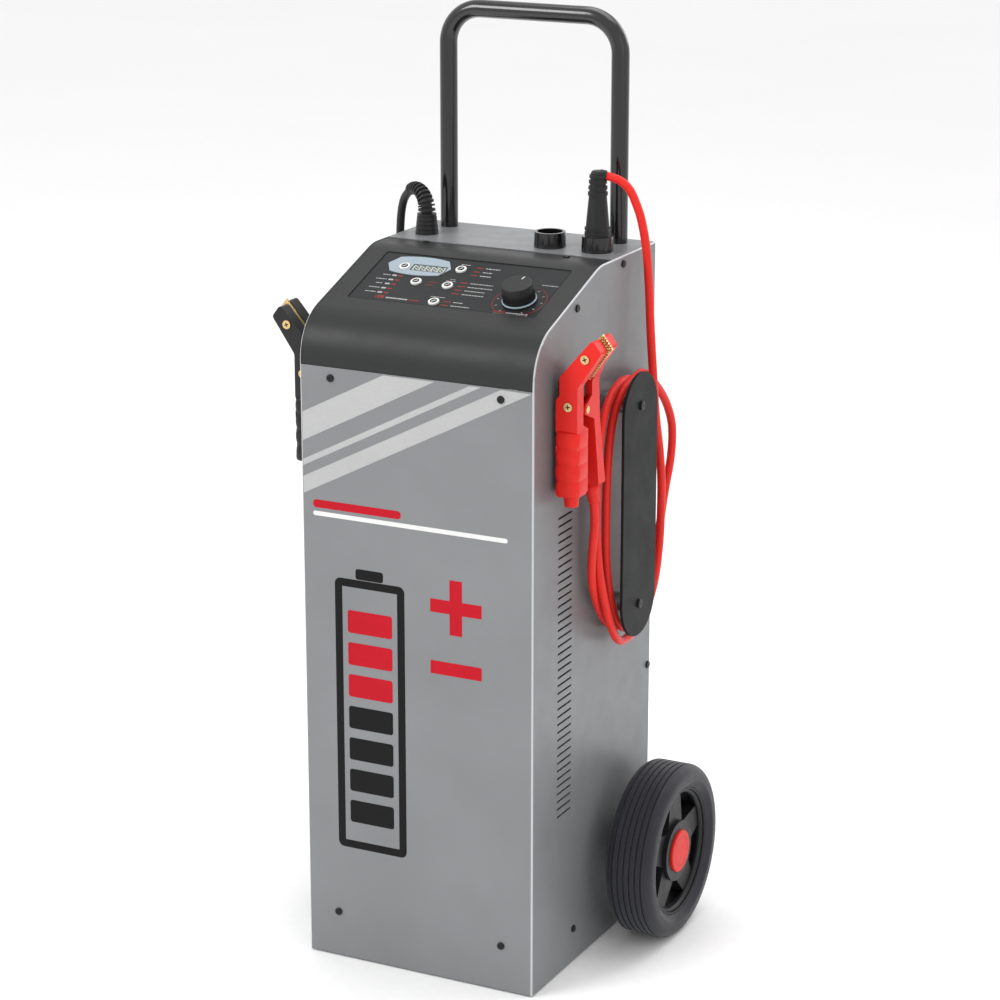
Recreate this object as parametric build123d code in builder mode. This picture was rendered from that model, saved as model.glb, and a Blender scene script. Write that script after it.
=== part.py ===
from build123d import *
import os
from math import cos, radians, sin, tan

# Wheeled car battery charger, in millimetres.
# +Z is up, the front faces -Y, and the origin lies on the floor under the middle of the machine.

# ---- Driving dimensions ----
CAB_W = 280.0  # cabinet width
CAB_D = 305.0  # cabinet depth
FRONT_Y = -166.0  # front face
BASE_Z = 2.0  # underside of the cabinet
SEAM_Z = 684.6  # seam between the front sheet and the hood
TOP_Z = 788.0  # top of the cabinet
SHEET = 1.5  # steel sheet thickness
FIT = 0.3  # gap between sheet parts
SLOPE_Z = 730.0  # height at which the panel's slope would meet the front face
SLOPE = radians(19.7)
FRONT_BEND_R = 58.0
TOP_BEND_R = 60.0
RIM_R = 2.5  # rounding of the shell's front and rim edges
RIM = 0.9  # how far the shell's rim stands proud of the hood
HOOD_T = 2.5
HOOD_REAR_Y = 29.6  # seam between the hood and the top plate

WHEEL_R = 100.0
WHEEL_X = 162.0  # inner side of the tyre
WHEEL_W = 58.0
AXLE_Y = 67.0
AXLE_R = 6.0
RUNNING = 0.05  # radial running clearance

HANDLE_X = 105.7  # handle legs
HANDLE_Y = 116.0
HANDLE_TOP = 1036.0  # centreline of the top bar
TUBE_R = 10.0

WRAP_Y = 22.0  # cable wrap plates
WRAP_Z = 519.0
WRAP_SCREW_HALF = 113.0
WRAP_X = 175.0  # inner face of the plate

CLAMP_X = 158.0  # middle of a clamp's grip
PIVOT_Y = -101.0
PIVOT_Z = 655.0

CORD_R = 4.75

HALF_W = CAB_W / 2
REAR_Y = FRONT_Y + CAB_D
INNER_W = HALF_W - SHEET - FIT
CREST_Y = FRONT_Y + (TOP_Z - SLOPE_Z) / tan(SLOPE)

os.makedirs("parts", exist_ok=True)
pieces = {}


# ---- Cabinet ----
def side_profile(inset):
    """The cabinet's outline seen from the side, moved inward by inset."""
    with BuildSketch(Plane.YZ) as profile:
        with BuildLine():
            FilletPolyline(
                (FRONT_Y, BASE_Z),
                (FRONT_Y, SLOPE_Z),
                (CREST_Y, TOP_Z),
                (REAR_Y, TOP_Z),
                radius=[FRONT_BEND_R, TOP_BEND_R],
            )
            Polyline((REAR_Y, TOP_Z), (REAR_Y, BASE_Z), (FRONT_Y, BASE_Z))
        make_face()
        if inset:
            offset(amount=-inset)
    return profile.sketch


PROFILE = side_profile(0)
HOOD_OUTSIDE = side_profile(RIM)
HOOD_INSIDE = side_profile(RIM + HOOD_T)

SCREW_HOLE_R = 2.2
FRONT_SCREWS = [(x, z) for x in (-102.0, 102.0) for z in (54.7, 672.9)]
SIDE_SCREWS = [(-63.0, 753.0), (53.0, 779.0), (133.0, 293.0), (-62.0, 41.0)]
POST_HOLES = [(WRAP_Y, WRAP_Z - WRAP_SCREW_HALF), (WRAP_Y, WRAP_Z + WRAP_SCREW_HALF)]
POST_HOLE_R = 2.6
PEG = (-100.5, 677.0)
REAR_FLANGE = 12.0
LOUVRE_Y = -88.0  # column of slots in each side
LOUVRE_Z = 361.0
LOUVRE_PITCH = 9.0
LOUVRES = 39
LOUVRE_L = 35.0
LOUVRE_W = 2.4

with BuildPart() as front_shell:
    extrude(PROFILE, amount=HALF_W, both=True)
    rim_edges = front_shell.faces().filter_by(Axis.X).edges()
    rim_edges = rim_edges.filter_by(lambda e: e.center().Y < REAR_Y - 1 and e.center().Z > BASE_Z + 1)
    fillet(rim_edges, RIM_R)
    with BuildSketch(Plane.XY.offset(BASE_Z - 1)):
        with Locations((0, FRONT_Y + SHEET + CAB_D / 2)):
            Rectangle(CAB_W - 2 * SHEET, CAB_D)
    extrude(amount=TOP_Z, mode=Mode.SUBTRACT)
    with BuildSketch(Plane.XY.offset(SEAM_Z)):
        with Locations((0, FRONT_Y + CAB_D / 2)):
            Rectangle(CAB_W - 2 * SHEET, CAB_D + 10)
    extrude(amount=TOP_Z, mode=Mode.SUBTRACT)
    with BuildSketch(Plane.XY.offset(BASE_Z)):
        for side in (-1, 1):
            with Locations((side * (HALF_W - SHEET - REAR_FLANGE / 2), REAR_Y - SHEET / 2)):
                Rectangle(REAR_FLANGE, SHEET)
    extrude(amount=TOP_Z - BASE_Z - 4)
    with BuildSketch(Plane.YZ):
        with Locations((LOUVRE_Y, LOUVRE_Z)):
            with GridLocations(0, LOUVRE_PITCH, 1, LOUVRES):
                SlotOverall(LOUVRE_L, LOUVRE_W)
        with Locations(*SIDE_SCREWS):
            Circle(SCREW_HOLE_R)
        with Locations(*POST_HOLES, PEG):
            Circle(POST_HOLE_R)
        with Locations((AXLE_Y, WHEEL_R)):
            Circle(AXLE_R + 0.5)
    extrude(amount=CAB_W, both=True, mode=Mode.SUBTRACT)
    with BuildSketch(Plane.XZ.offset(-FRONT_Y)):
        with Locations(*FRONT_SCREWS):
            Circle(SCREW_HOLE_R)
    extrude(amount=5, both=True, mode=Mode.SUBTRACT)
pieces["front_shell"] = front_shell

BASE_FLANGE = 55.0
BASE_FRONT = FRONT_Y + SHEET + FIT
BASE_REAR = REAR_Y - 2 * SHEET - FIT

with BuildPart() as base_tray:
    with BuildSketch(Plane.XY.offset(BASE_Z)):
        with Locations((0, (BASE_FRONT + BASE_REAR) / 2)):
            Rectangle(2 * INNER_W, BASE_REAR - BASE_FRONT)
    extrude(amount=BASE_FLANGE)
    with BuildSketch(Plane.XY.offset(BASE_Z + SHEET)):
        with Locations((0, (BASE_FRONT + BASE_REAR) / 2)):
            Rectangle(2 * (INNER_W - SHEET), BASE_REAR - BASE_FRONT - 2 * SHEET)
    extrude(amount=BASE_FLANGE, mode=Mode.SUBTRACT)
    with BuildSketch(Plane.YZ):
        with Locations(SIDE_SCREWS[3]):
            Circle(SCREW_HOLE_R)
    extrude(amount=CAB_W, both=True, mode=Mode.SUBTRACT)
    with BuildSketch(Plane.XZ.offset(-BASE_FRONT)):
        with Locations(*[spot for spot in FRONT_SCREWS if spot[1] < SEAM_Z / 2]):
            Circle(SCREW_HOLE_R)
    extrude(amount=5, both=True, mode=Mode.SUBTRACT)
pieces["base_tray"] = base_tray

REAR_OUT = REAR_Y - SHEET
REAR_SIDE = 25.0
FAN_Z = 560.0
GRILLE_SLOTS = 12
GLAND_X = 80.0
GLAND_Z = 150.0
GLAND_R = 10.0
REAR_TOP = TOP_Z - SHEET - 0.2

with BuildPart() as rear_panel:
    with BuildSketch(Plane.XZ.offset(-REAR_OUT)):
        with Locations((0, (BASE_Z + REAR_TOP) / 2)):
            Rectangle(2 * INNER_W, REAR_TOP - BASE_Z)
    extrude(amount=SHEET)
    with BuildSketch(Plane.XY.offset(BASE_Z + BASE_FLANGE + 5)):
        for side in (-1, 1):
            with Locations((side * (INNER_W - SHEET / 2), REAR_OUT - SHEET - REAR_SIDE / 2)):
                Rectangle(SHEET, REAR_SIDE)
    extrude(amount=REAR_TOP - BASE_Z - BASE_FLANGE - 25)
    with BuildSketch(Plane.XZ.offset(-REAR_OUT)):
        with Locations((0, FAN_Z)):
            with GridLocations(0, LOUVRE_PITCH, 1, GRILLE_SLOTS):
                SlotOverall(100, 4)
        with Locations((GLAND_X, GLAND_Z)):
            Circle(GLAND_R)
    extrude(amount=10, both=True, mode=Mode.SUBTRACT)
    with BuildSketch(Plane.YZ):
        with Locations(SIDE_SCREWS[2]):
            Circle(SCREW_HOLE_R)
    extrude(amount=CAB_W, both=True, mode=Mode.SUBTRACT)
pieces["rear_panel"] = rear_panel

SPARE_SOCKET = (47.0, 63.0)
MAIN_SOCKET = (104.5, 63.0)
NEG_GLAND = (-108.0, 66.0)
SOCKET_BODY_R = 13.4
STEM_R = 9.0  # the cord gland's threaded stem
PLATE_Z = TOP_Z - SHEET
LIP = 18.0

with BuildPart() as top_plate:
    with BuildSketch(Plane.XY.offset(PLATE_Z)):
        with Locations((0, (HOOD_REAR_Y + FIT + REAR_Y) / 2)):
            Rectangle(2 * INNER_W, REAR_Y - HOOD_REAR_Y - FIT)
    extrude(amount=SHEET)
    with BuildSketch(Plane.XY.offset(PLATE_Z)):
        for side in (-1, 1):
            with Locations((side * (INNER_W - SHEET / 2), 71)):
                Rectangle(SHEET, 76)
        with Locations((0, REAR_Y - SHEET / 2)):
            Rectangle(2 * (INNER_W - REAR_FLANGE) - 4, SHEET)
    extrude(amount=-LIP)
    with BuildSketch(Plane.XY.offset(TOP_Z)):
        with Locations((-HANDLE_X, HANDLE_Y), (HANDLE_X, HANDLE_Y)):
            Circle(TUBE_R)
        with Locations(SPARE_SOCKET, MAIN_SOCKET):
            Circle(SOCKET_BODY_R)
        with Locations(NEG_GLAND):
            Circle(STEM_R)
    extrude(amount=5, both=True, mode=Mode.SUBTRACT)
    with BuildSketch(Plane.YZ):
        with Locations(SIDE_SCREWS[1]):
            Circle(SCREW_HOLE_R)
    extrude(amount=CAB_W, both=True, mode=Mode.SUBTRACT)
pieces["top_plate"] = top_plate

# ---- Control hood and panel ----
# The panel's own plane: x to the right, y up the slope from the front face, z out of the hood.
PANEL = Plane(
    origin=(0, FRONT_Y + RIM * sin(SLOPE), SLOPE_Z - RIM * cos(SLOPE)),
    x_dir=(1, 0, 0),
    z_dir=(0, -sin(SLOPE), cos(SLOPE)),
)
RECESS_LOW = 60.0
RECESS_HIGH = 158.0
RECESS_W = 226.0
RECESS_T = 1.6
OVERLAY_T = 1.0
OVERLAY_TOP = OVERLAY_T - RECESS_T
PAD_Z = -RECESS_T - 2.5  # underside of the thickened panel
RECESS_MID = (RECESS_LOW + RECESS_HIGH) / 2
BUTTONS = {
    "button_display": (-77.6, 131.0),
    "button_start": (-11.2, 136.7),
    "button_type": (-50.0, 103.9),
    "button_rate": (-11.2, 102.8),
    "button_engine": (-11.2, 69.1),
}
BUTTON_R = 6.2
BUTTON_TRAVEL = 0.8
KNOB = (81.5, 89.3)
WINDOW = (-48.0, 131.2)
WINDOW_W = 42.0
WINDOW_H = 13.0
BEZEL_MID = (-61.0, 134.5)
BEZEL_HALF_W = 38.5
BEZEL_HALF_H = 18.5
BEZEL_CORNER_X = 30.0
BEZEL_CORNER_S = 14.5
END_WALL = 2.2
HOOD_SCREWS = [(-86.0, 23.0), (86.0, 23.0)]
BUTTON_GAP = 0.25
BUSH_HOLE_R = 4.0
BOSS_R = 3.5
BOARD_Z = -14.0
BOARD_T = 1.6
BOARD_BOSSES = [(x, s) for x in (-98.0, 102.0) for s in (68.0, 150.0)]

with BuildPart() as control_hood:
    extrude(HOOD_OUTSIDE, amount=INNER_W, both=True)
    extrude(HOOD_INSIDE, amount=INNER_W - END_WALL, both=True, mode=Mode.SUBTRACT)
    with BuildSketch(PANEL.offset(PAD_Z)):
        with Locations((0, RECESS_MID)):
            Rectangle(RECESS_W + 6, RECESS_HIGH - RECESS_LOW + 6)
    extrude(amount=-PAD_Z - 1)
    with BuildSketch(PANEL.offset(BOARD_Z + BOARD_T)):
        with Locations(*BOARD_BOSSES):
            Circle(BOSS_R)
    extrude(amount=PAD_Z - BOARD_Z - BOARD_T + 0.5)
    with BuildSketch(Plane.XY.offset(BASE_Z - 1)):
        Rectangle(CAB_W + 10, 2 * CAB_D)
    extrude(amount=SEAM_Z - BASE_Z + 1 + FIT, mode=Mode.SUBTRACT)
    with BuildSketch(Plane.XZ.offset(-HOOD_REAR_Y)):
        with Locations((0, TOP_Z / 2)):
            Rectangle(CAB_W + 10, TOP_Z + 10)
    extrude(amount=-CAB_D, mode=Mode.SUBTRACT)
    with BuildSketch(PANEL.offset(-RECESS_T)):
        with Locations((0, RECESS_MID)):
            RectangleRounded(RECESS_W, RECESS_HIGH - RECESS_LOW, 3)
    extrude(amount=10, mode=Mode.SUBTRACT)
    with BuildSketch(PANEL):
        with Locations(*BUTTONS.values()):
            Circle(BUTTON_R + BUTTON_GAP)
        with Locations(KNOB):
            Circle(BUSH_HOLE_R)
        with Locations(WINDOW):
            Rectangle(WINDOW_W - 4, WINDOW_H - 3)
    extrude(amount=8, both=True, mode=Mode.SUBTRACT)
    with BuildSketch(Plane.YZ):
        with Locations(SIDE_SCREWS[0]):
            Circle(SCREW_HOLE_R)
    extrude(amount=CAB_W, both=True, mode=Mode.SUBTRACT)
    with BuildSketch(Plane.XY.offset(TOP_Z)):
        with Locations(*HOOD_SCREWS):
            Circle(SCREW_HOLE_R)
    extrude(amount=-6, mode=Mode.SUBTRACT)
pieces["control_hood"] = control_hood

with BuildPart() as control_overlay:
    with BuildSketch(PANEL.offset(-RECESS_T)):
        with Locations((0, RECESS_MID)):
            RectangleRounded(RECESS_W - 0.6, RECESS_HIGH - RECESS_LOW - 0.6, 2.7)
        with Locations(*BUTTONS.values()):
            Circle(BUTTON_R + BUTTON_GAP, mode=Mode.SUBTRACT)
        with Locations(KNOB):
            Circle(BUSH_HOLE_R, mode=Mode.SUBTRACT)
        with Locations(WINDOW):
            Rectangle(WINDOW_W, WINDOW_H, mode=Mode.SUBTRACT)
    extrude(amount=OVERLAY_T)
pieces["control_overlay"] = control_overlay

with BuildPart() as display_bezel:
    with BuildSketch(PANEL.offset(OVERLAY_TOP)):
        with BuildLine():
            for end in (-1, 1):
                ThreePointArc(
                    (BEZEL_MID[0] - BEZEL_CORNER_X, BEZEL_MID[1] + end * BEZEL_CORNER_S),
                    (BEZEL_MID[0], BEZEL_MID[1] + end * BEZEL_HALF_H),
                    (BEZEL_MID[0] + BEZEL_CORNER_X, BEZEL_MID[1] + end * BEZEL_CORNER_S),
                )
                Polyline(
                    (BEZEL_MID[0] + end * BEZEL_CORNER_X, BEZEL_MID[1] + BEZEL_CORNER_S),
                    (BEZEL_MID[0] + end * BEZEL_HALF_W, BEZEL_MID[1]),
                    (BEZEL_MID[0] + end * BEZEL_CORNER_X, BEZEL_MID[1] - BEZEL_CORNER_S),
                )
        make_face()
        with Locations(BUTTONS["button_display"]):
            Circle(BUTTON_R + BUTTON_GAP, mode=Mode.SUBTRACT)
        with Locations(WINDOW):
            Rectangle(WINDOW_W, WINDOW_H, mode=Mode.SUBTRACT)
    extrude(amount=1.0)
pieces["display_bezel"] = display_bezel

with BuildPart() as display_window:
    with BuildSketch(PANEL.offset(-RECESS_T)):
        with Locations(WINDOW):
            Rectangle(WINDOW_W - 0.2, WINDOW_H - 0.2)
    extrude(amount=1.6)
pieces["display_window"] = display_window

BUTTON_TOP = 1.4
FLANGE_TOP = PAD_Z - 0.4

for label, spot in BUTTONS.items():
    with BuildPart() as button:
        with BuildSketch(PANEL.offset(FLANGE_TOP)):
            with Locations(spot):
                Circle(BUTTON_R)
        extrude(amount=BUTTON_TOP - FLANGE_TOP)
        fillet(button.faces().sort_by(Axis((0, 0, 0), PANEL.z_dir))[-1].edges(), 0.6)
        with BuildSketch(PANEL.offset(FLANGE_TOP)):
            with Locations(spot):
                Circle(BUTTON_R + 1.2)
        extrude(amount=-1.2)
        with BuildSketch(PANEL.offset(FLANGE_TOP - 1.2)):
            with Locations(spot):
                Circle(2)
        extrude(amount=-0.8)
    pieces[label] = button

KNOB_LOW = 0.2
SKIRT_R = 19.0
SKIRT_T = 2.4
GRIP_R = 17.8
KNOB_TOP = 21.0
BORE_DEPTH = 12.0
SHAFT_R = 3.0
POT_R = 12.0

with BuildPart() as knob_cap:
    with BuildSketch(PANEL.offset(KNOB_LOW)):
        with Locations(KNOB):
            Circle(SKIRT_R)
    extrude(amount=SKIRT_T)
    fillet(knob_cap.edges().filter_by(GeomType.CIRCLE), 0.8)
    with BuildSketch(PANEL.offset(KNOB_LOW + SKIRT_T)):
        with Locations(KNOB):
            Circle(GRIP_R)
    extrude(amount=KNOB_TOP - KNOB_LOW - SKIRT_T, taper=3.5)
    fillet(knob_cap.faces().sort_by(Axis((0, 0, 0), PANEL.z_dir))[-1].edges(), 1.6)
    with BuildSketch(PANEL.offset(KNOB_LOW)):
        with Locations(KNOB):
            Circle(SHAFT_R)
    extrude(amount=BORE_DEPTH + SKIRT_T, mode=Mode.SUBTRACT)
pieces["knob_cap"] = knob_cap

with BuildPart() as knob_shaft:
    with BuildSketch(PANEL.offset(PAD_Z - 6)):
        with Locations(KNOB):
            Circle(SHAFT_R)
    extrude(amount=KNOB_LOW + SKIRT_T + BORE_DEPTH - PAD_Z + 6)
pieces["knob_shaft"] = knob_shaft

with BuildPart() as potentiometer:
    with BuildSketch(PANEL.offset(PAD_Z)):
        with Locations(KNOB):
            Circle(POT_R)
    extrude(amount=-9)
    with BuildSketch(PANEL.offset(PAD_Z)):
        with Locations(KNOB):
            Circle(BUSH_HOLE_R - 0.1)
    extrude(amount=-PAD_Z + OVERLAY_TOP)
    with BuildSketch(PANEL.offset(PAD_Z - 6.5)):
        with Locations(KNOB):
            Circle(SHAFT_R + RUNNING)
    extrude(amount=20, mode=Mode.SUBTRACT)
pieces["potentiometer"] = potentiometer

SWITCH_TOP = FLANGE_TOP - 2.0 - BUTTON_TRAVEL - 0.3

with BuildPart() as control_board:
    with BuildSketch(PANEL.offset(BOARD_Z)):
        with Locations((2, 109)):
            Rectangle(212, 92)
        with Locations(KNOB):
            Circle(POT_R + 1, mode=Mode.SUBTRACT)
        with Locations(*BOARD_BOSSES):
            Circle(1.6, mode=Mode.SUBTRACT)
    extrude(amount=BOARD_T)
    with BuildSketch(PANEL.offset(BOARD_Z + BOARD_T)):
        with Locations(*BUTTONS.values()):
            Rectangle(6, 6)
    extrude(amount=SWITCH_TOP - BOARD_Z - BOARD_T)
    with BuildSketch(PANEL.offset(BOARD_Z + BOARD_T)):
        with Locations(WINDOW):
            Rectangle(WINDOW_W - 2, WINDOW_H + 4)
    extrude(amount=PAD_Z - BOARD_Z - BOARD_T - 0.2)
pieces["control_board"] = control_board

# ---- Handle ----
BEND_R = 40.0
TUBE_T = 1.6
LEG_END_Z = 630.0

with BuildPart() as handle_tube:
    with BuildLine() as handle_path:
        FilletPolyline(
            (-HANDLE_X, HANDLE_Y, LEG_END_Z),
            (-HANDLE_X, HANDLE_Y, HANDLE_TOP),
            (HANDLE_X, HANDLE_Y, HANDLE_TOP),
            (HANDLE_X, HANDLE_Y, LEG_END_Z),
            radius=BEND_R,
        )
    with BuildSketch(Plane.XY.offset(LEG_END_Z)):
        with Locations((-HANDLE_X, HANDLE_Y)):
            Circle(TUBE_R)
            Circle(TUBE_R - TUBE_T, mode=Mode.SUBTRACT)
    sweep(path=handle_path.wires()[0])
pieces["handle_tube"] = handle_tube

SADDLE_W = 40.0
SADDLE_H = 24.0
SADDLE_FRONT = HANDLE_Y - TUBE_R - 3

with BuildPart() as handle_brackets:
    for saddle_z in (645.0, 735.0):
        with BuildSketch(Plane.XY.offset(saddle_z)):
            for side in (-1, 1):
                with Locations((side * HANDLE_X, (SADDLE_FRONT + REAR_OUT - SHEET) / 2)):
                    Rectangle(SADDLE_W, REAR_OUT - SHEET - SADDLE_FRONT)
                with Locations((side * HANDLE_X, HANDLE_Y)):
                    Circle(TUBE_R, mode=Mode.SUBTRACT)
        extrude(amount=SADDLE_H)
pieces["handle_brackets"] = handle_brackets

# ---- Axle and wheels ----
HUB_FACE = 212.2  # outer face of the hub ring
AXLE_END = 207.5
BOSS_END = WHEEL_X - 0.7

with BuildPart() as axle:
    with BuildSketch(Plane.YZ.offset(-AXLE_END)):
        with Locations((AXLE_Y, WHEEL_R)):
            Circle(AXLE_R)
    extrude(amount=2 * AXLE_END)
    chamfer(axle.edges().filter_by(GeomType.CIRCLE), 0.8)
pieces["axle"] = axle

with BuildPart() as axle_bearings:
    for side in (-1, 1):
        outward = Plane(
            origin=(side * HALF_W, AXLE_Y, WHEEL_R), x_dir=(0, 0, 1), z_dir=(side, 0, 0)
        )
        with BuildSketch(outward):
            RectangleRounded(46, 46, 6)
        extrude(amount=3)
        with BuildSketch(outward.offset(3)):
            Circle(13)
        extrude(amount=BOSS_END - HALF_W - 3)
        with BuildSketch(outward):
            Circle(AXLE_R)
        extrude(amount=BOSS_END, mode=Mode.SUBTRACT)
pieces["axle_bearings"] = axle_bearings

RIM_OUT_R = 74.0
SPOKE_HUB_W = 38.0
SPOKE_RIM_W = 25.0
SPOKES = 5
SPOKE_L = RIM_OUT_R - 32
HUB_RING_R = 35.0
CAP_RECESS_R = 20.0
CLIP_X = 204.8


def wheel_plane(side, x):
    """A plane across the wheel at distance x from the middle, facing outward."""
    return Plane(origin=(side * x, AXLE_Y, WHEEL_R), x_dir=(0, 0, 1), z_dir=(side, 0, 0))


def make_rim(side):
    with BuildPart() as rim:
        with BuildSketch(wheel_plane(side, WHEEL_X + 4)):
            Circle(RIM_OUT_R)
            Circle(RIM_OUT_R - 3, mode=Mode.SUBTRACT)
        extrude(amount=WHEEL_W - 10)
        with BuildSketch(wheel_plane(side, WHEEL_X)):
            Circle(15)
        extrude(amount=30)
        with BuildSketch(wheel_plane(side, WHEEL_X + 28)):
            Circle(HUB_RING_R)
        extrude(amount=HUB_FACE - WHEEL_X - 28)
        fillet(rim.edges().filter_by(GeomType.CIRCLE).group_by(Axis.X)[-1 if side > 0 else 0], 1.2)
        with BuildSketch(wheel_plane(side, WHEEL_X + 30)):
            with PolarLocations(RIM_OUT_R / 2 + 14, SPOKES):
                Polygon(
                    (-SPOKE_L / 2, -SPOKE_HUB_W / 2),
                    (SPOKE_L / 2, -SPOKE_RIM_W / 2),
                    (SPOKE_L / 2, SPOKE_RIM_W / 2),
                    (-SPOKE_L / 2, SPOKE_HUB_W / 2),
                )
        extrude(amount=15)
        with BuildSketch(wheel_plane(side, WHEEL_X + 20)):
            with PolarLocations(RIM_OUT_R / 2 + 6, SPOKES):
                Rectangle(RIM_OUT_R - 16, 4)
        extrude(amount=12)
        with BuildSketch(wheel_plane(side, WHEEL_X - 1)):
            Circle(AXLE_R + RUNNING)
        extrude(amount=WHEEL_W, mode=Mode.SUBTRACT)
        with BuildSketch(wheel_plane(side, CLIP_X - 0.5)):
            Circle(CAP_RECESS_R)
        extrude(amount=WHEEL_W, mode=Mode.SUBTRACT)
    return rim


SHOULDER = 12.0
BEAD_R = 82.0  # where the sidewall starts to curve
GROOVES = 6
GROOVE_PITCH = 7.0


def make_tyre(side):
    """A solid rubber tyre with grooves running round its tread."""
    inner, outer = side * WHEEL_X, side * (WHEEL_X + WHEEL_W)
    with BuildPart() as tyre:
        with BuildSketch(Plane.XY.offset(WHEEL_R)):
            with BuildLine():
                FilletPolyline(
                    (inner + side * 4, AXLE_Y + RIM_OUT_R),
                    (inner, AXLE_Y + BEAD_R),
                    (inner + side * 1, AXLE_Y + WHEEL_R),
                    (outer - side * 1, AXLE_Y + WHEEL_R),
                    (outer, AXLE_Y + BEAD_R),
                    (outer - side * 6, AXLE_Y + RIM_OUT_R),
                    radius=[4, SHOULDER, SHOULDER, 5],
                )
                Line((inner + side * 4, AXLE_Y + RIM_OUT_R), (outer - side * 6, AXLE_Y + RIM_OUT_R))
            make_face()
            with Locations(((inner + outer) / 2, AXLE_Y + WHEEL_R)):
                with GridLocations(GROOVE_PITCH, 0, GROOVES, 1):
                    Rectangle(1.8, 4, mode=Mode.SUBTRACT)
        revolve(axis=Axis((0, AXLE_Y, WHEEL_R), (1, 0, 0)))
    return tyre


def make_cap(side):
    with BuildPart() as cap:
        with BuildSketch(wheel_plane(side, HUB_FACE)):
            Circle(24.5)
        extrude(amount=3.2)
        fillet(cap.edges().filter_by(GeomType.CIRCLE).group_by(Axis.X)[-1 if side > 0 else 0], 2)
        with BuildSketch(wheel_plane(side, HUB_FACE)):
            Circle(CAP_RECESS_R)
            Circle(CAP_RECESS_R - 2, mode=Mode.SUBTRACT)
        extrude(amount=-4)
    return cap


for name, side in (("left", -1), ("right", 1)):
    pieces[f"wheel_rim_{name}"] = make_rim(side)
    pieces[f"tyre_{name}"] = make_tyre(side)
    pieces[f"wheel_cap_{name}"] = make_cap(side)

with BuildPart() as axle_clips:
    for side in (-1, 1):
        with BuildSketch(wheel_plane(side, CLIP_X)):
            Circle(11)
            Circle(AXLE_R, mode=Mode.SUBTRACT)
        extrude(amount=1.5)
pieces["axle_clips"] = axle_clips

# ---- Output sockets, plug and gland on the top plate ----
SOCKET_H = 17.0
SOCKET_R = 17.0
SOCKET_BORE_R = 14.2
NOSE_BORE_R = 11.0
SOCKET_RIBS = 16

with BuildPart() as output_sockets:
    for spot in (SPARE_SOCKET, MAIN_SOCKET):
        with BuildSketch(Plane.XY.offset(TOP_Z)):
            with Locations(spot):
                Circle(SOCKET_R + 0.8)
        extrude(amount=SOCKET_H, taper=2)
        with BuildSketch(Plane.XY.offset(TOP_Z + 2)):
            with Locations(spot):
                with PolarLocations(SOCKET_R + 0.9, SOCKET_RIBS):
                    Rectangle(1.6, 2.6)
        extrude(amount=SOCKET_H, mode=Mode.SUBTRACT)
        with BuildSketch(Plane.XY.offset(TOP_Z)):
            with Locations(spot):
                Circle(SOCKET_BODY_R)
        extrude(amount=-26)
        with BuildSketch(Plane.XY.offset(TOP_Z + 1)):
            with Locations(spot):
                Circle(SOCKET_BORE_R)
        extrude(amount=SOCKET_H, mode=Mode.SUBTRACT)
        with BuildSketch(Plane.XY.offset(TOP_Z - 20)):
            with Locations(spot):
                Circle(NOSE_BORE_R)
        extrude(amount=22, mode=Mode.SUBTRACT)
        with BuildSketch(Plane.XY.offset(TOP_Z - 30)):
            with Locations(spot):
                Circle(4)
        extrude(amount=15, mode=Mode.SUBTRACT)
pieces["output_sockets"] = output_sockets

with BuildPart() as socket_contacts:
    for spot in (SPARE_SOCKET, MAIN_SOCKET):
        with BuildSketch(Plane.XY.offset(TOP_Z - 38)):
            with Locations(spot):
                Circle(4)
        extrude(amount=38 - 6)
        with BuildSketch(Plane.XY.offset(TOP_Z - 29)):
            with Locations(spot):
                RegularPolygon(9, 6)
                Circle(4, mode=Mode.SUBTRACT)
        extrude(amount=3)
pieces["socket_contacts"] = socket_contacts

PLUG_R = 13.9
SLEEVE_Z = TOP_Z + SOCKET_H
SLEEVE_TOP = 877.0
RED_MOUTH = (112.37, 66.93, 871.0)
RED_MOUTH_DROP = radians(12)

with BuildPart() as plug_body:
    with BuildSketch(Plane.XY.offset(TOP_Z + 1)):
        with Locations(MAIN_SOCKET):
            Circle(PLUG_R)
    extrude(amount=SOCKET_H - 1)
    with BuildSketch(Plane.XY.offset(TOP_Z + 1)):
        with Locations(MAIN_SOCKET):
            Circle(NOSE_BORE_R - 0.3)
    extrude(amount=-17)
    with BuildSketch(Plane.XY.offset(TOP_Z - 20)):
        with Locations(MAIN_SOCKET):
            Circle(4.2)
    extrude(amount=16, mode=Mode.SUBTRACT)
pieces["plug_body"] = plug_body


def bend_plane(base, z, heading, radius, angle):
    """The plane across a bend that rises from base and leans over towards heading."""
    turn = radians(angle)
    toward = Vector(heading[0], heading[1], 0)
    lean = toward * sin(turn) + Vector(0, 0, cos(turn))
    origin = Vector(base[0], base[1], z + radius * sin(turn)) + toward * radius * (1 - cos(turn))
    return Plane(origin=origin, x_dir=(-heading[1], heading[0], 0), z_dir=lean)


RED_HEADING = (0.894, 0.447)
BLACK_HEADING = (-0.87, 0.493)

MOUTH_AXIS = Vector(
    RED_HEADING[0] * cos(RED_MOUTH_DROP), RED_HEADING[1] * cos(RED_MOUTH_DROP), -sin(RED_MOUTH_DROP)
)

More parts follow.
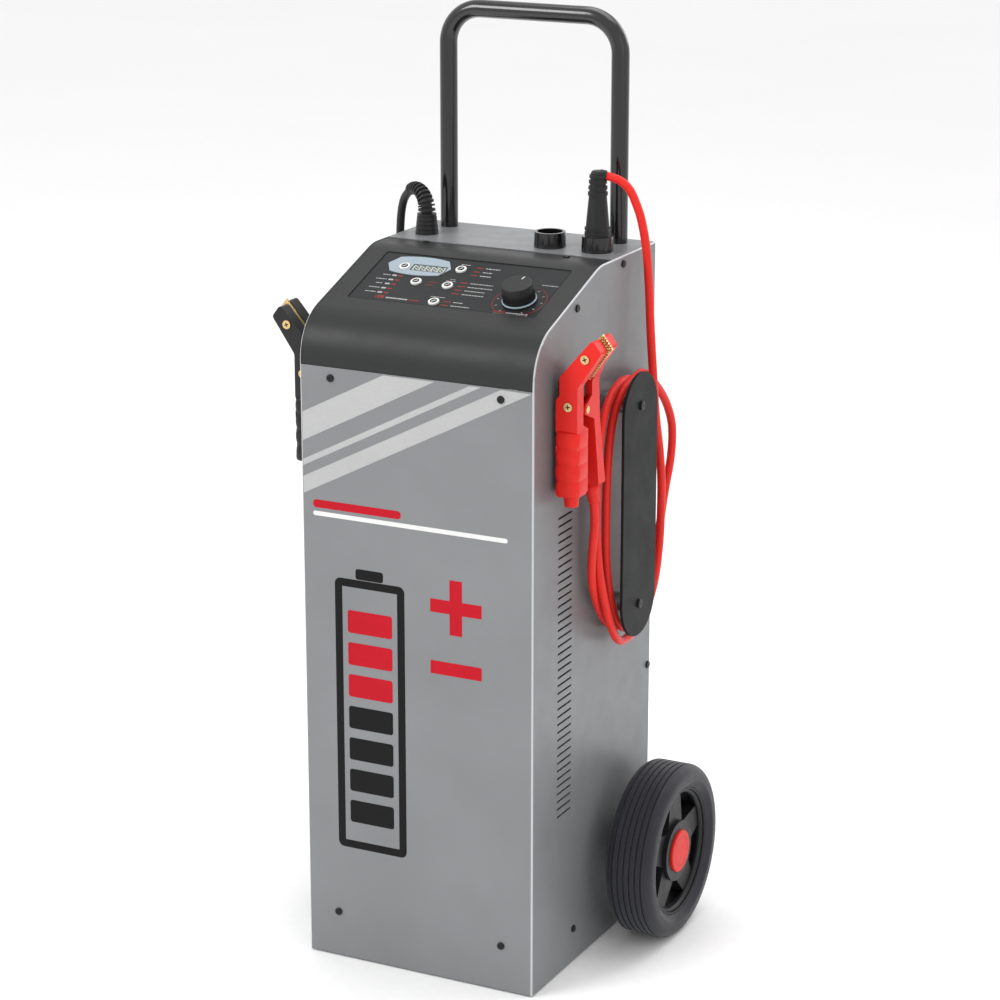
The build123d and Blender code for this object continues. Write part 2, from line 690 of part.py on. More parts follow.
with BuildPart() as plug_sleeve:
    for low, low_r, high, high_r in ((SLEEVE_Z, PLUG_R, 850.0, 9.8), (850.0, 9.8, SLEEVE_TOP, 7.6)):
        with BuildSketch(Plane.XY.offset(low)):
            with Locations(MAIN_SOCKET):
                Circle(low_r)
        with BuildSketch(Plane.XY.offset(high)):
            with Locations(MAIN_SOCKET):
                Circle(high_r)
        loft()
    fillet(plug_sleeve.faces().sort_by(Axis.Z)[-1].edges(), 3.5)
    for ring_z in (807.0, 812.0, 850.0, 856.5, 863.0, 869.0):
        ring_r = 14.3 if ring_z < 820 else 11.0 - (ring_z - 850) * 0.08
        with BuildSketch(Plane.XY.offset(ring_z)):
            with Locations(MAIN_SOCKET):
                Circle(ring_r)
        extrude(amount=2.4 if ring_z < 820 else 3.4)
    with BuildSketch(Plane(origin=RED_MOUTH, z_dir=MOUTH_AXIS)):
        Circle(5.9)
    extrude(amount=-7)
pieces["plug_sleeve"] = plug_sleeve

GLAND_H = 23.0
GLAND_SLEEVE_R = 6.2
GLAND_BEND = 22.0
GLAND_TURN = 125.0

with BuildPart() as gland_base:
    with BuildSketch(Plane.XY.offset(TOP_Z)):
        with Locations(NEG_GLAND):
            Circle(13.2)
    extrude(amount=GLAND_H, taper=6)
    for ring_z in (5.0, 10.0, 15.0, 20.0):
        with BuildSketch(Plane.XY.offset(TOP_Z + ring_z)):
            with Locations(NEG_GLAND):
                Circle(14)
                Circle(12.4 - ring_z * 0.1, mode=Mode.SUBTRACT)
        extrude(amount=1.2, mode=Mode.SUBTRACT)
    with BuildSketch(Plane.XY.offset(TOP_Z)):
        with Locations(NEG_GLAND):
            Circle(STEM_R)
    extrude(amount=-14)
pieces["gland_base"] = gland_base

SLEEVE_BASE_Z = TOP_Z + GLAND_H
GLAND_RIBS = 11

with BuildPart() as gland_sleeve:
    with BuildLine() as sleeve_path:
        sleeve_start = Line((*NEG_GLAND, SLEEVE_BASE_Z), (*NEG_GLAND, SLEEVE_BASE_Z + 3))
        ThreePointArc(
            sleeve_start @ 1,
            bend_plane(NEG_GLAND, SLEEVE_BASE_Z + 3, BLACK_HEADING, GLAND_BEND, GLAND_TURN / 2).origin,
            bend_plane(NEG_GLAND, SLEEVE_BASE_Z + 3, BLACK_HEADING, GLAND_BEND, GLAND_TURN).origin,
        )
    with BuildSketch(Plane.XY.offset(SLEEVE_BASE_Z)):
        with Locations(NEG_GLAND):
            Circle(GLAND_SLEEVE_R)
    sweep(path=sleeve_path.wires()[0])
    for rib in range(GLAND_RIBS):
        share = (rib + 0.5) / GLAND_RIBS
        across = bend_plane(NEG_GLAND, SLEEVE_BASE_Z + 3, BLACK_HEADING, GLAND_BEND, GLAND_TURN * share - 3)
        with BuildSketch(across):
            Circle(10.0 - 3.2 * share)
        extrude(amount=1.1, both=True)
pieces["gland_sleeve"] = gland_sleeve

# ---- Cable wraps and clamp pegs ----
PLATE_T = 3.0
PLATE_H = 300.0
PLATE_W = 88.0
POST_R = 12.0

with BuildPart() as wrap_plates:
    for side in (-1, 1):
        with BuildSketch(Plane(origin=(side * WRAP_X, 0, 0), x_dir=(0, 1, 0), z_dir=(side, 0, 0))):
            with Locations((WRAP_Y, side * WRAP_Z)):
                SlotOverall(PLATE_H, PLATE_W, rotation=90)
            with Locations(*[(y, side * z) for y, z in POST_HOLES]):
                Circle(POST_HOLE_R, mode=Mode.SUBTRACT)
        extrude(amount=PLATE_T)
    fillet(wrap_plates.faces().sort_by(Axis.X)[-1].outer_wire().edges(), 0.8)
    fillet(wrap_plates.faces().sort_by(Axis.X)[0].outer_wire().edges(), 0.8)
pieces["wrap_plates"] = wrap_plates

with BuildPart() as wrap_posts:
    for side in (-1, 1):
        with BuildSketch(Plane(origin=(side * HALF_W, 0, 0), x_dir=(0, 1, 0), z_dir=(side, 0, 0))):
            with Locations(*[(y, side * z) for y, z in POST_HOLES]):
                Circle(POST_R)
                Circle(2.5, mode=Mode.SUBTRACT)
        extrude(amount=WRAP_X - HALF_W)
pieces["wrap_posts"] = wrap_posts

PEG_END = 166.0

with BuildPart() as clamp_pegs:
    for side in (-1, 1):
        outward = Plane(origin=(side * HALF_W, PEG[0], PEG[1]), x_dir=(0, 0, 1), z_dir=(side, 0, 0))
        with BuildSketch(outward):
            SlotOverall(22, 14)
        extrude(amount=2)
        with BuildSketch(outward):
            SlotOverall(18, 11)
        extrude(amount=PEG_END - HALF_W)
pieces["clamp_pegs"] = clamp_pegs

# ---- Clamps ----
# Each clamp hangs on its peg with its head leaning outward. Its jaws open along Y,
# about a pin along X. The right one is drawn here and the left one mirrors it.
GRIP_LOW = 563.0
GRIP_X = 145.5
CLAMP_RIGHT = 170.5
EAR_T = 3.0
LEVER_OUTLINE = [
    (GRIP_X, GRIP_LOW),
    (GRIP_X, 668.0),
    (149.5, 673.0),
    (149.5, 693.0),
    (187.0, 736.5),
    (197.5, 722.5),
    (CLAMP_RIGHT, 683.0),
    (CLAMP_RIGHT, GRIP_LOW),
]
SPRING_R = 8.0
PIN_R = 2.5
TOOTH_PITCH = 3.2
TOOTH_CUT = 1.3


def clamp_outline(tip):
    """The clamp's outline seen from the front, with its head made longer by tip."""
    points = [(x + 0.64 * tip, z + 0.77 * tip) if z > 700 else (x, z) for x, z in LEVER_OUTLINE]
    with BuildSketch(Plane.XZ) as outline:
        with BuildLine():
            FilletPolyline(*points, radius=[4, 2, 3, 10, 4, 4, 8, 4], close=True)
        make_face()
    return outline.sketch


def ear_sketch(points, hole_r):
    """A pivot ear seen from the side: a round eye joined to its lever."""
    with BuildSketch(Plane.YZ) as ear:
        with Locations((PIVOT_Y, PIVOT_Z)):
            Circle(6)
        with BuildLine():
            Polyline(*points, close=True)
        make_face()
        with Locations((PIVOT_Y, PIVOT_Z)):
            Circle(hole_r, mode=Mode.SUBTRACT)
    return ear.sketch


FRONT_OUTLINE = clamp_outline(0)
REAR_OUTLINE = clamp_outline(3)
FRONT_EAR = ear_sketch([(-112, 661), (-101, 661), (-101, 649), (-112, 649)], PIN_R + RUNNING)
REAR_EAR = ear_sketch([(-84, 672), (-101, 661), (-101, 649), (-80, 640)], PIN_R)
SCALLOP_R = 20.0
BOOT_R = 8.5
CLAMP_SCREWS = [(179.0, 715.0), (160.0, 662.0)]
CLAMP_SCREW_R = 4.8


def make_front_lever(side):
    """The moving lever: finger grip, jaw half, cord boot and the two inner ears."""
    with BuildPart() as lever:
        with BuildSketch(Plane.YZ.offset(GRIP_X - 1)):
            with BuildLine():
                Polyline(*FRONT_SIDE, close=True)
            make_face()
            with Locations(*[(FRONT_SIDE[0][0] - SCALLOP_R + 2, z) for z in (579, 603, 627)]):
                Circle(SCALLOP_R, mode=Mode.SUBTRACT)
        extrude(amount=70)
        extrude(FRONT_OUTLINE, amount=200, mode=Mode.INTERSECT)
        for ear_x in (GRIP_X + EAR_T + FIT, CLAMP_RIGHT - 2 * EAR_T - FIT):
            extrude(FRONT_EAR.moved(Location((ear_x, 0, 0))), amount=EAR_T)
        with BuildSketch(Plane.YZ.offset(GRIP_X - 1)):
            with Locations((PIVOT_Y, PIVOT_Z)):
                Circle(PIN_R + RUNNING)
        extrude(amount=40, mode=Mode.SUBTRACT)
        with BuildSketch(Plane.XY.offset(GRIP_LOW)):
            with Locations((CLAMP_X, -111.5)):
                Circle(BOOT_R)
        extrude(amount=-12, taper=5)
        if side < 0:
            mirror(about=Plane.YZ, mode=Mode.REPLACE)
    return lever


def make_rear_lever(side):
    """The still lever: grip, jaw half and the two outer ears."""
    with BuildPart() as lever:
        with BuildSketch(Plane.YZ.offset(GRIP_X - 1)):
            with BuildLine():
                Polyline(*REAR_SIDE, close=True)
            make_face()
        extrude(amount=70)
        extrude(REAR_OUTLINE, amount=200, mode=Mode.INTERSECT)
        for ear_x in (GRIP_X, CLAMP_RIGHT - EAR_T):
            extrude(REAR_EAR.moved(Location((ear_x, 0, 0))), amount=EAR_T)
        with BuildSketch(Plane.YZ.offset(GRIP_X - 1)):
            with Locations((PIVOT_Y, PIVOT_Z)):
                Circle(PIN_R)
        extrude(amount=40, mode=Mode.SUBTRACT)
        if side < 0:
            mirror(about=Plane.YZ, mode=Mode.REPLACE)
    return lever


def make_contact(front, thickness, longer):
    """A toothed contact plate whose front face lies at y = front."""
    with BuildPart() as contact:
        with BuildSketch(Plane.XZ.offset(-front - thickness)):
            with BuildLine():
                Polyline(*[(x + 0.64 * longer, z + 0.77 * longer) for x, z in JAW_OUTLINE], close=True)
            make_face()
            with Locations(*[(x + 0.64 * longer, z + 0.77 * longer) for x, z in EDGE_TEETH]):
                Rectangle(TOOTH_CUT, 5, rotation=EDGE_ANGLE, mode=Mode.SUBTRACT)
            with Locations(*[(x + 0.64 * longer, z + 0.77 * longer) for x, z in TIP_TEETH]):
                Rectangle(TOOTH_CUT, 5, rotation=TIP_ANGLE, mode=Mode.SUBTRACT)
        extrude(amount=thickness)
    return contact


FRONT_SIDE = [(-125, GRIP_LOW), (-125, 760), (-110, 760), (-110, 640), (-98, 634), (-98, GRIP_LOW)]
REAR_SIDE = [
    (-88, 760),
    (-88, 703),
    (-72, 684),
    (-69, 640),
    (-53, GRIP_LOW),
    (-70, GRIP_LOW),
    (-82, 636),
    (-84, 645),
    (-89, 668),
    (-89, 683),
    (-104, 699),
    (-104, 760),
]
JAW_OUTLINE = [(162.0, 706.0), (188.2, 736.6), (199.7, 721.8), (177.0, 690.0)]
EDGE_ANGLE = 54.5
TIP_ANGLE = -52.2
EDGE_TEETH = [(178.6 + 1.86 * n, 692.2 + 2.6 * n) for n in range(11)]
TIP_TEETH = [(190.1 + 1.96 * n, 734.2 - 2.52 * n) for n in range(5)]
CONTACT_T = 2.8
FRONT_CONTACT_Y = -110.0
REAR_CONTACT_Y = -106.8

for color, side in (("red", 1), ("black", -1)):
    pieces[f"{color}_lever_front"] = make_front_lever(side)
    pieces[f"{color}_lever_rear"] = make_rear_lever(side)
    toothed = make_contact(FRONT_CONTACT_Y, CONTACT_T, 0)
    with BuildPart() as contact_front:
        add(toothed.part)
        with BuildSketch(Plane.XZ.offset(-FRONT_SIDE[0][0])):
            with Locations(*CLAMP_SCREWS):
                Circle(CLAMP_SCREW_R)
        extrude(amount=1.6)
        if side < 0:
            mirror(about=Plane.YZ, mode=Mode.REPLACE)
    pieces[f"{color}_contact_front"] = contact_front

toothed = make_contact(REAR_CONTACT_Y, CONTACT_T, 3)
with BuildPart() as contacts_rear:
    add(toothed.part)
    mirror(about=Plane.YZ)
pieces["contacts_rear"] = contacts_rear

with BuildPart() as clamp_pins:
    for side in (-1, 1):
        with BuildSketch(Plane(origin=(side * (GRIP_X - 1.2), 0, 0), x_dir=(0, 1, 0), z_dir=(side, 0, 0))):
            with Locations((PIVOT_Y, side * PIVOT_Z)):
                Circle(PIN_R)
        extrude(amount=CLAMP_RIGHT - GRIP_X + 2.4)
        for end_x in (GRIP_X - 1.2, CLAMP_RIGHT):
            with BuildSketch(Plane(origin=(side * end_x, 0, 0), x_dir=(0, 1, 0), z_dir=(side, 0, 0))):
                with Locations((PIVOT_Y, side * PIVOT_Z)):
                    Circle(4)
            extrude(amount=1.2)
pieces["clamp_pins"] = clamp_pins

SPRING_LOW = 152.2
SPRING_HIGH = 163.8

with BuildPart() as clamp_springs:
    for side in (-1, 1):
        with BuildSketch(Plane(origin=(side * SPRING_LOW, 0, 0), x_dir=(0, 1, 0), z_dir=(side, 0, 0))):
            with Locations((PIVOT_Y, side * PIVOT_Z)):
                Circle(SPRING_R)
                Circle(SPRING_R - 2, mode=Mode.SUBTRACT)
        extrude(amount=SPRING_HIGH - SPRING_LOW)
        with BuildSketch(Plane(origin=(side * SPRING_LOW, 0, 0), x_dir=(0, 1, 0), z_dir=(side, 0, 0))):
            with BuildLine():
                Polyline(
                    (PIVOT_Y + 5.5, side * 655),
                    (PIVOT_Y + 7.5, side * 657),
                    (-76, side * 620),
                    (-78, side * 619),
                    close=True,
                )
            make_face()
        extrude(amount=2)
    add(pieces["red_lever_rear"].part, mode=Mode.SUBTRACT)
    add(pieces["black_lever_rear"].part, mode=Mode.SUBTRACT)
pieces["clamp_springs"] = clamp_springs

# ---- Output cords ----
RED_LEAD = [
    RED_MOUTH,
    (119.34, 70.42, 869.3),
    (129.0, 75.25, 864.0),
    (136.24, 78.87, 855.1),
    (141.33, 81.42, 842.3),
    (147.41, 84.46, 823.5),
    (153.05, 87.27, 788.0),
    (156.0, 88.75, 740.2),
    (157.34, 89.42, 704.2),
    (157.34, 89.42, 668.0),
]
BLACK_LEAD = [
    (-138.1, 83.3, 832.0),
    (-146.6, 88.2, 825.1),
    (-152.5, 91.6, 815.2),
    (-156.8, 94.1, 797.9),
    (-158.9, 95.3, 764.0),
    (-159.6, 95.7, 716.0),
    (-159.6, 95.7, 668.0),
]
TAIL = [(160.0, -56.5, 500.0), (160.0, -56.5, 531.0), (158.0, -61.5, GRIP_LOW)]


def bend_radii(points):
    """The largest easy bend at each corner of a cord's path."""
    corners = [Vector(*p) for p in points]
    radii = []
    for before, at, after in zip(corners, corners[1:], corners[2:]):
        turn = (at - before).get_angle(after - at)
        run = min((at - before).length, (after - at).length)
        radii.append(0.45 * run / tan(radians(turn) / 2))
    return radii


def make_cord(points, neighbours):
    """A cord along points, cut off where it meets its neighbours."""
    radii = bend_radii(points)
    with BuildPart() as cord:
        with BuildLine() as path:
            FilletPolyline(*points, radius=radii)
        start = Vector(*points[0])
        with BuildSketch(Plane(origin=start, z_dir=Vector(*points[1]) - start)):
            Circle(CORD_R)
        sweep(path=path.wires()[0])
        for neighbour in neighbours:
            add(pieces[neighbour].part, mode=Mode.SUBTRACT)
    return cord, radii


def make_coil(side):
    """The hanks of cord stored round a wrap, as one solid of their outer shape."""
    with BuildPart() as coil:
        with BuildSketch(Plane.YZ.offset(COIL_X)):
            with BuildLine():
                FilletPolyline(*COIL_OUTER, radius=COIL_OUTER_R, close=True)
            make_face()
            with BuildLine():
                FilletPolyline(*COIL_INNER, radius=12, close=True)
            make_face(mode=Mode.SUBTRACT)
        extrude(amount=COIL_T)
        if side < 0:
            mirror(about=Plane.YZ, mode=Mode.REPLACE)
    return coil


COIL_X = 146.0
COIL_T = 24.0
COIL_OUTER = [
    (-62, 440),
    (-62, 500),
    (-51, 500),
    (-50, 600),
    (-10, 668),
    (112, 668),
    (163, 600),
    (160, 530),
    (132, 400),
    (60, 345),
    (5, 350),
]
COIL_OUTER_R = [20, 2, 2, 20, 20, 18, 20, 20, 20, 20, 20]
COIL_INNER = [(-14, 440), (-14, 610), (5, 647), (70, 647), (110, 600), (112, 450), (75, 386), (8, 386)]

pieces["cord_red_coil"] = make_coil(1)
pieces["cord_black_coil"] = make_coil(-1)
for label, points, neighbours in (
    ("cord_red_lead", RED_LEAD, ["plug_sleeve", "cord_red_coil"]),
    ("cord_black_lead", BLACK_LEAD, ["gland_sleeve", "cord_black_coil"]),
    ("cord_red_tail", TAIL, ["red_lever_rear", "cord_red_coil"]),
    ("cord_black_tail", [(-x, y, z) for x, y, z in TAIL], ["black_lever_rear", "cord_black_coil"]),
):
    cord, radii = make_cord(points, neighbours)
    pieces[label] = cord
    print(label, "bend radii, mm:", [round(r, 1) for r in radii])

# ---- Inside the cabinet ----
CORE_W = 160.0
CORE_H = 135.0
CORE_Y = (-60.0, 30.0)
CORE_WINDOW = (25.0, 85.0)
TRAY_TOP = BASE_Z + SHEET
CORE_MID_Z = TRAY_TOP + CORE_H / 2

with BuildPart() as transformer_core:
    with BuildSketch(Plane.XZ.offset(-CORE_Y[1])):
        with Locations((0, CORE_MID_Z)):
            Rectangle(CORE_W, CORE_H)
        with Locations((-39, CORE_MID_Z), (39, CORE_MID_Z)):
            Rectangle(*CORE_WINDOW, mode=Mode.SUBTRACT)
    extrude(amount=CORE_Y[1] - CORE_Y[0])
pieces["transformer_core"] = transformer_core

with BuildPart() as transformer_windings:
    with BuildSketch(Plane.XY.offset(CORE_MID_Z - CORE_WINDOW[1] / 2)):
        with Locations((0, (CORE_Y[0] + CORE_Y[1]) / 2)):
            RectangleRounded(98, CORE_Y[1] - CORE_Y[0] + 44, 12)
            Rectangle(53, CORE_Y[1] - CORE_Y[0], mode=Mode.SUBTRACT)
    extrude(amount=CORE_WINDOW[1])
pieces["transformer_windings"] = transformer_windings

with BuildPart() as heat_sink:
    with BuildSketch(Plane.XY.offset(300)):
        with Locations((0, REAR_OUT - SHEET - 3)):
            Rectangle(180, 6)
        with Locations((0, REAR_OUT - SHEET - 22)):
            with GridLocations(12, 0, 15, 1):
                Rectangle(2.5, 36)
    extrude(amount=180)
pieces["heat_sink"] = heat_sink

FAN_FRONT = REAR_OUT - SHEET - 25
SPINDLE_R = 2.95

with BuildPart() as fan_frame:
    with BuildSketch(Plane.XZ.offset(-REAR_OUT + SHEET)):
        with Locations((0, FAN_Z)):
            RectangleRounded(120, 120, 5)
            Circle(57, mode=Mode.SUBTRACT)
    extrude(amount=25)
    with BuildSketch(Plane.XZ.offset(-REAR_OUT + SHEET)):
        with Locations((0, FAN_Z)):
            Circle(16)
            Rectangle(118, 5)
            Rectangle(5, 118)
    extrude(amount=3)
    with BuildSketch(Plane.XZ.offset(-REAR_OUT + SHEET)):
        with Locations((0, FAN_Z)):
            Circle(SPINDLE_R)
    extrude(amount=22)
pieces["fan_frame"] = fan_frame

with BuildPart() as fan_rotor:
    with BuildSketch(Plane.XZ.offset(-FAN_FRONT - 19)):
        with Locations((0, FAN_Z)):
            Circle(18)
    extrude(amount=17)
    with BuildSketch(Plane.XZ.offset(-FAN_FRONT - 15)):
        with Locations((0, FAN_Z)):
            with PolarLocations(36, 7):
                Rectangle(38, 24)
    extrude(amount=3)
    with BuildSketch(Plane.XZ.offset(-FAN_FRONT - 20)):
        with Locations((0, FAN_Z)):
            Circle(SPINDLE_R + RUNNING)
    extrude(amount=17, mode=Mode.SUBTRACT)
pieces["fan_rotor"] = fan_rotor

with BuildPart() as mains_gland:
    with BuildSketch(Plane.XZ.offset(-REAR_OUT + SHEET + 8)):
        with Locations((GLAND_X, GLAND_Z)):
            Circle(GLAND_R)
            Circle(GLAND_R / 2, mode=Mode.SUBTRACT)
    extrude(amount=-30)
    for flange_y, flange_t in ((REAR_OUT, 6), (REAR_OUT - SHEET - 5, 5)):
        with BuildSketch(Plane.XZ.offset(-flange_y)):
            with Locations((GLAND_X, GLAND_Z)):
                RegularPolygon(14, 6)
                Circle(GLAND_R, mode=Mode.SUBTRACT)
        extrude(amount=-flange_t)
pieces["mains_gland"] = mains_gland

# ---- Feet and screws ----
FOOT_X = 115.0
FOOT_Y = -145.0
FOOT_R = 12.0

with BuildPart() as rubber_feet:
    with BuildSketch(Plane.XY):
        with Locations((-FOOT_X, FOOT_Y), (FOOT_X, FOOT_Y)):
            Circle(FOOT_R)
    extrude(amount=BASE_Z)
pieces["rubber_feet"] = rubber_feet


def pan_screw(origin, facing, head, shank):
    """A pan-head screw: head is (radius, height) and shank is (radius, length)."""
    seat = Plane(origin=origin, z_dir=facing)
    with BuildPart() as screw:
        with BuildSketch(seat):
            Circle(head[0])
        extrude(amount=head[1])
        fillet(screw.faces().sort_by(Axis(seat.origin, seat.z_dir))[-1].edges(), head[1] * 0.45)
        with BuildSketch(seat):
            Circle(shank[0])
        extrude(amount=-shank[1])
    return screw.part


# heads as (radius, height) and shanks as (radius, length)
SHEET_HEAD = (4.2, 2.2)
HOOD_HEAD = (4.2, 1.6)
WRAP_HEAD = (5.2, 2.6)
SHORT = (2.0, 8.0)
LONG = (2.5, WRAP_X + PLATE_T - HALF_W + 6)

screws = [pan_screw((x, FRONT_Y, z), (0, -1, 0), SHEET_HEAD, SHORT) for x, z in FRONT_SCREWS]
for side in (-1, 1):
    facing = (side, 0, 0)
    screws += [pan_screw((side * HALF_W, y, z), facing, SHEET_HEAD, SHORT) for y, z in SIDE_SCREWS]
    screws += [
        pan_screw((side * (WRAP_X + PLATE_T), y, z), facing, WRAP_HEAD, LONG) for y, z in POST_HOLES
    ]

screws += [pan_screw((x, y, TOP_Z - RIM), (0, 0, 1), HOOD_HEAD, SHORT) for x, y in HOOD_SCREWS]

with BuildPart() as black_screws:
    add(screws)
pieces["black_screws"] = black_screws

for label, piece in pieces.items():
    piece.part.label = label
    export_step(piece.part, f"parts/{label}.step")
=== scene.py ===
import math

import bmesh
import bpy
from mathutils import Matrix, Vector


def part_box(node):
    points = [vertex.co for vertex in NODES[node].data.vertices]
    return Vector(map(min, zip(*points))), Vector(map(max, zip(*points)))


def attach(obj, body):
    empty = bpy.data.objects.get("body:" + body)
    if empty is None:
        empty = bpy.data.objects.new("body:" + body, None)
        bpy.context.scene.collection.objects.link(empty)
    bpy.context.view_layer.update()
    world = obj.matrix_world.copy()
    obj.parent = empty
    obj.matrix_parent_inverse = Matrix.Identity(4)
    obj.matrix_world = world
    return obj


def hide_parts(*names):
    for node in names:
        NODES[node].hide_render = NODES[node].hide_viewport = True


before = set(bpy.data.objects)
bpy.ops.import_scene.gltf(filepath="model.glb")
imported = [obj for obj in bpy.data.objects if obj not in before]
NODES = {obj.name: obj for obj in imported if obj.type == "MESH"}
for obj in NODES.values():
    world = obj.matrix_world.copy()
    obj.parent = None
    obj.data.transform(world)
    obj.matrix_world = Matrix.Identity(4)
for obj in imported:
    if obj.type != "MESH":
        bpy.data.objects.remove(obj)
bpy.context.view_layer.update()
scene = bpy.context.scene
MM = 0.001

# ---- Camera and light ----
AZ, EL, DISTANCE = math.radians(26.77), math.radians(16.42), 3.347
TARGET = Vector((0.01634, 0.00167, 0.50884))
back = Vector((math.sin(AZ) * math.cos(EL), -math.cos(AZ) * math.cos(EL), math.sin(EL)))
camera = bpy.data.objects.new("camera", bpy.data.cameras.new("camera"))
camera.location = TARGET + back * DISTANCE
camera.rotation_euler = (-back).to_track_quat("-Z", "Y").to_euler()
camera.data.lens = 108.17
camera.data.sensor_width = 36
camera.data.clip_end = 50
scene.collection.objects.link(camera)
scene.camera = camera


def area_light(name, place, aim, size, power):
    """A soft rectangular light, size in metres, that points at aim."""
    data = bpy.data.lights.new(name, "AREA")
    data.shape = "RECTANGLE"
    data.size, data.size_y = size
    data.energy = power
    light = bpy.data.objects.new(name, data)
    light.location = place
    light.rotation_euler = (Vector(aim) - Vector(place)).to_track_quat("-Z", "Y").to_euler()
    scene.collection.objects.link(light)


area_light("key", (-1.9, -2.6, 2.9), (0, 0, 0.5), (1.6, 1.6), 72)
area_light("fill", (2.8, -1.6, 1.5), (0, 0, 0.5), (1.6, 2.2), 4)
area_light("top", (0.2, 0.6, 3.0), (0, 0, 0.4), (2.2, 1.6), 26)
area_light("rim", (1.2, 2.6, 1.9), (0, 0, 0.6), (1.4, 1.6), 14)

world = bpy.data.worlds.new("world")
world.use_nodes = True
world.node_tree.nodes["Background"].inputs["Color"].default_value = (1, 1, 1, 1)
world.node_tree.nodes["Background"].inputs["Strength"].default_value = 1.0
scene.world = world
scene.view_settings.view_transform = "Standard"


# ---- Materials ----
def shader(name):
    """A new material with its node tree and shader."""
    mat = bpy.data.materials.new(name)
    mat.use_nodes = True
    tree = mat.node_tree
    return mat, tree, tree.nodes["Principled BSDF"]


def noise(tree, scale, detail=4.0, roughness=0.55, stretch=(1, 1, 1)):
    """Noise fixed to the piece, its features about 1 / scale metres across."""
    coords = tree.nodes.new("ShaderNodeTexCoord")
    mapping = tree.nodes.new("ShaderNodeMapping")
    mapping.inputs["Scale"].default_value = stretch
    tex = tree.nodes.new("ShaderNodeTexNoise")
    tex.inputs["Scale"].default_value = scale
    tex.inputs["Detail"].default_value = detail
    tex.inputs["Roughness"].default_value = roughness
    tree.links.new(coords.outputs["Object"], mapping.inputs["Vector"])
    tree.links.new(mapping.outputs["Vector"], tex.inputs["Vector"])
    return tex.outputs["Fac"]


def remap(tree, value, low, high, start=0.3, end=0.7):
    """The value's span from start to end, spread from low to high."""
    node = tree.nodes.new("ShaderNodeMapRange")
    node.inputs["From Min"].default_value = start
    node.inputs["From Max"].default_value = end
    node.inputs["To Min"].default_value = low
    node.inputs["To Max"].default_value = high
    tree.links.new(value, node.inputs["Value"])
    return node.outputs["Result"]


def ramp(tree, value, first, second, start=0.3, end=0.7):
    """A colour that runs from first to second as the value goes from start to end."""
    node = tree.nodes.new("ShaderNodeValToRGB")
    node.color_ramp.elements[0].position = start
    node.color_ramp.elements[1].position = end
    node.color_ramp.elements[0].color = (*first, 1)
    node.color_ramp.elements[1].color = (*second, 1)
    tree.links.new(value, node.inputs["Fac"])
    return node.outputs["Color"]


def shade(colour, amount):
    """The colour made darker or lighter by a factor."""
    return tuple(min(1.0, max(0.0, c * amount)) for c in colour)


def paint_fold_highlight(tree, colour, bright):
    """A painted highlight: lighter colour on the rounded edges, where the sheet turns between front and
    side.
    """
    geometry = tree.nodes.new("ShaderNodeNewGeometry")
    split = tree.nodes.new("ShaderNodeSeparateXYZ")
    tree.links.new(geometry.outputs["Normal"], split.inputs["Vector"])
    sideways = tree.nodes.new("ShaderNodeMath")
    sideways.operation = "ABSOLUTE"
    tree.links.new(split.outputs["X"], sideways.inputs[0])
    rise = remap(tree, sideways.outputs["Value"], 0.0, 1.0, 0.15, 0.45)
    fall = remap(tree, sideways.outputs["Value"], 1.0, 0.0, 0.90, 0.985)
    highlight_mask = tree.nodes.new("ShaderNodeMath")
    highlight_mask.operation = "MULTIPLY"
    tree.links.new(rise, highlight_mask.inputs[0])
    tree.links.new(fall, highlight_mask.inputs[1])
    mix = tree.nodes.new("ShaderNodeMix")
    mix.data_type = "RGBA"
    tree.links.new(highlight_mask.outputs["Value"], mix.inputs["Factor"])
    tree.links.new(colour, mix.inputs["A"])
    mix.inputs["B"].default_value = (*bright, 1)
    return mix.outputs["Result"]


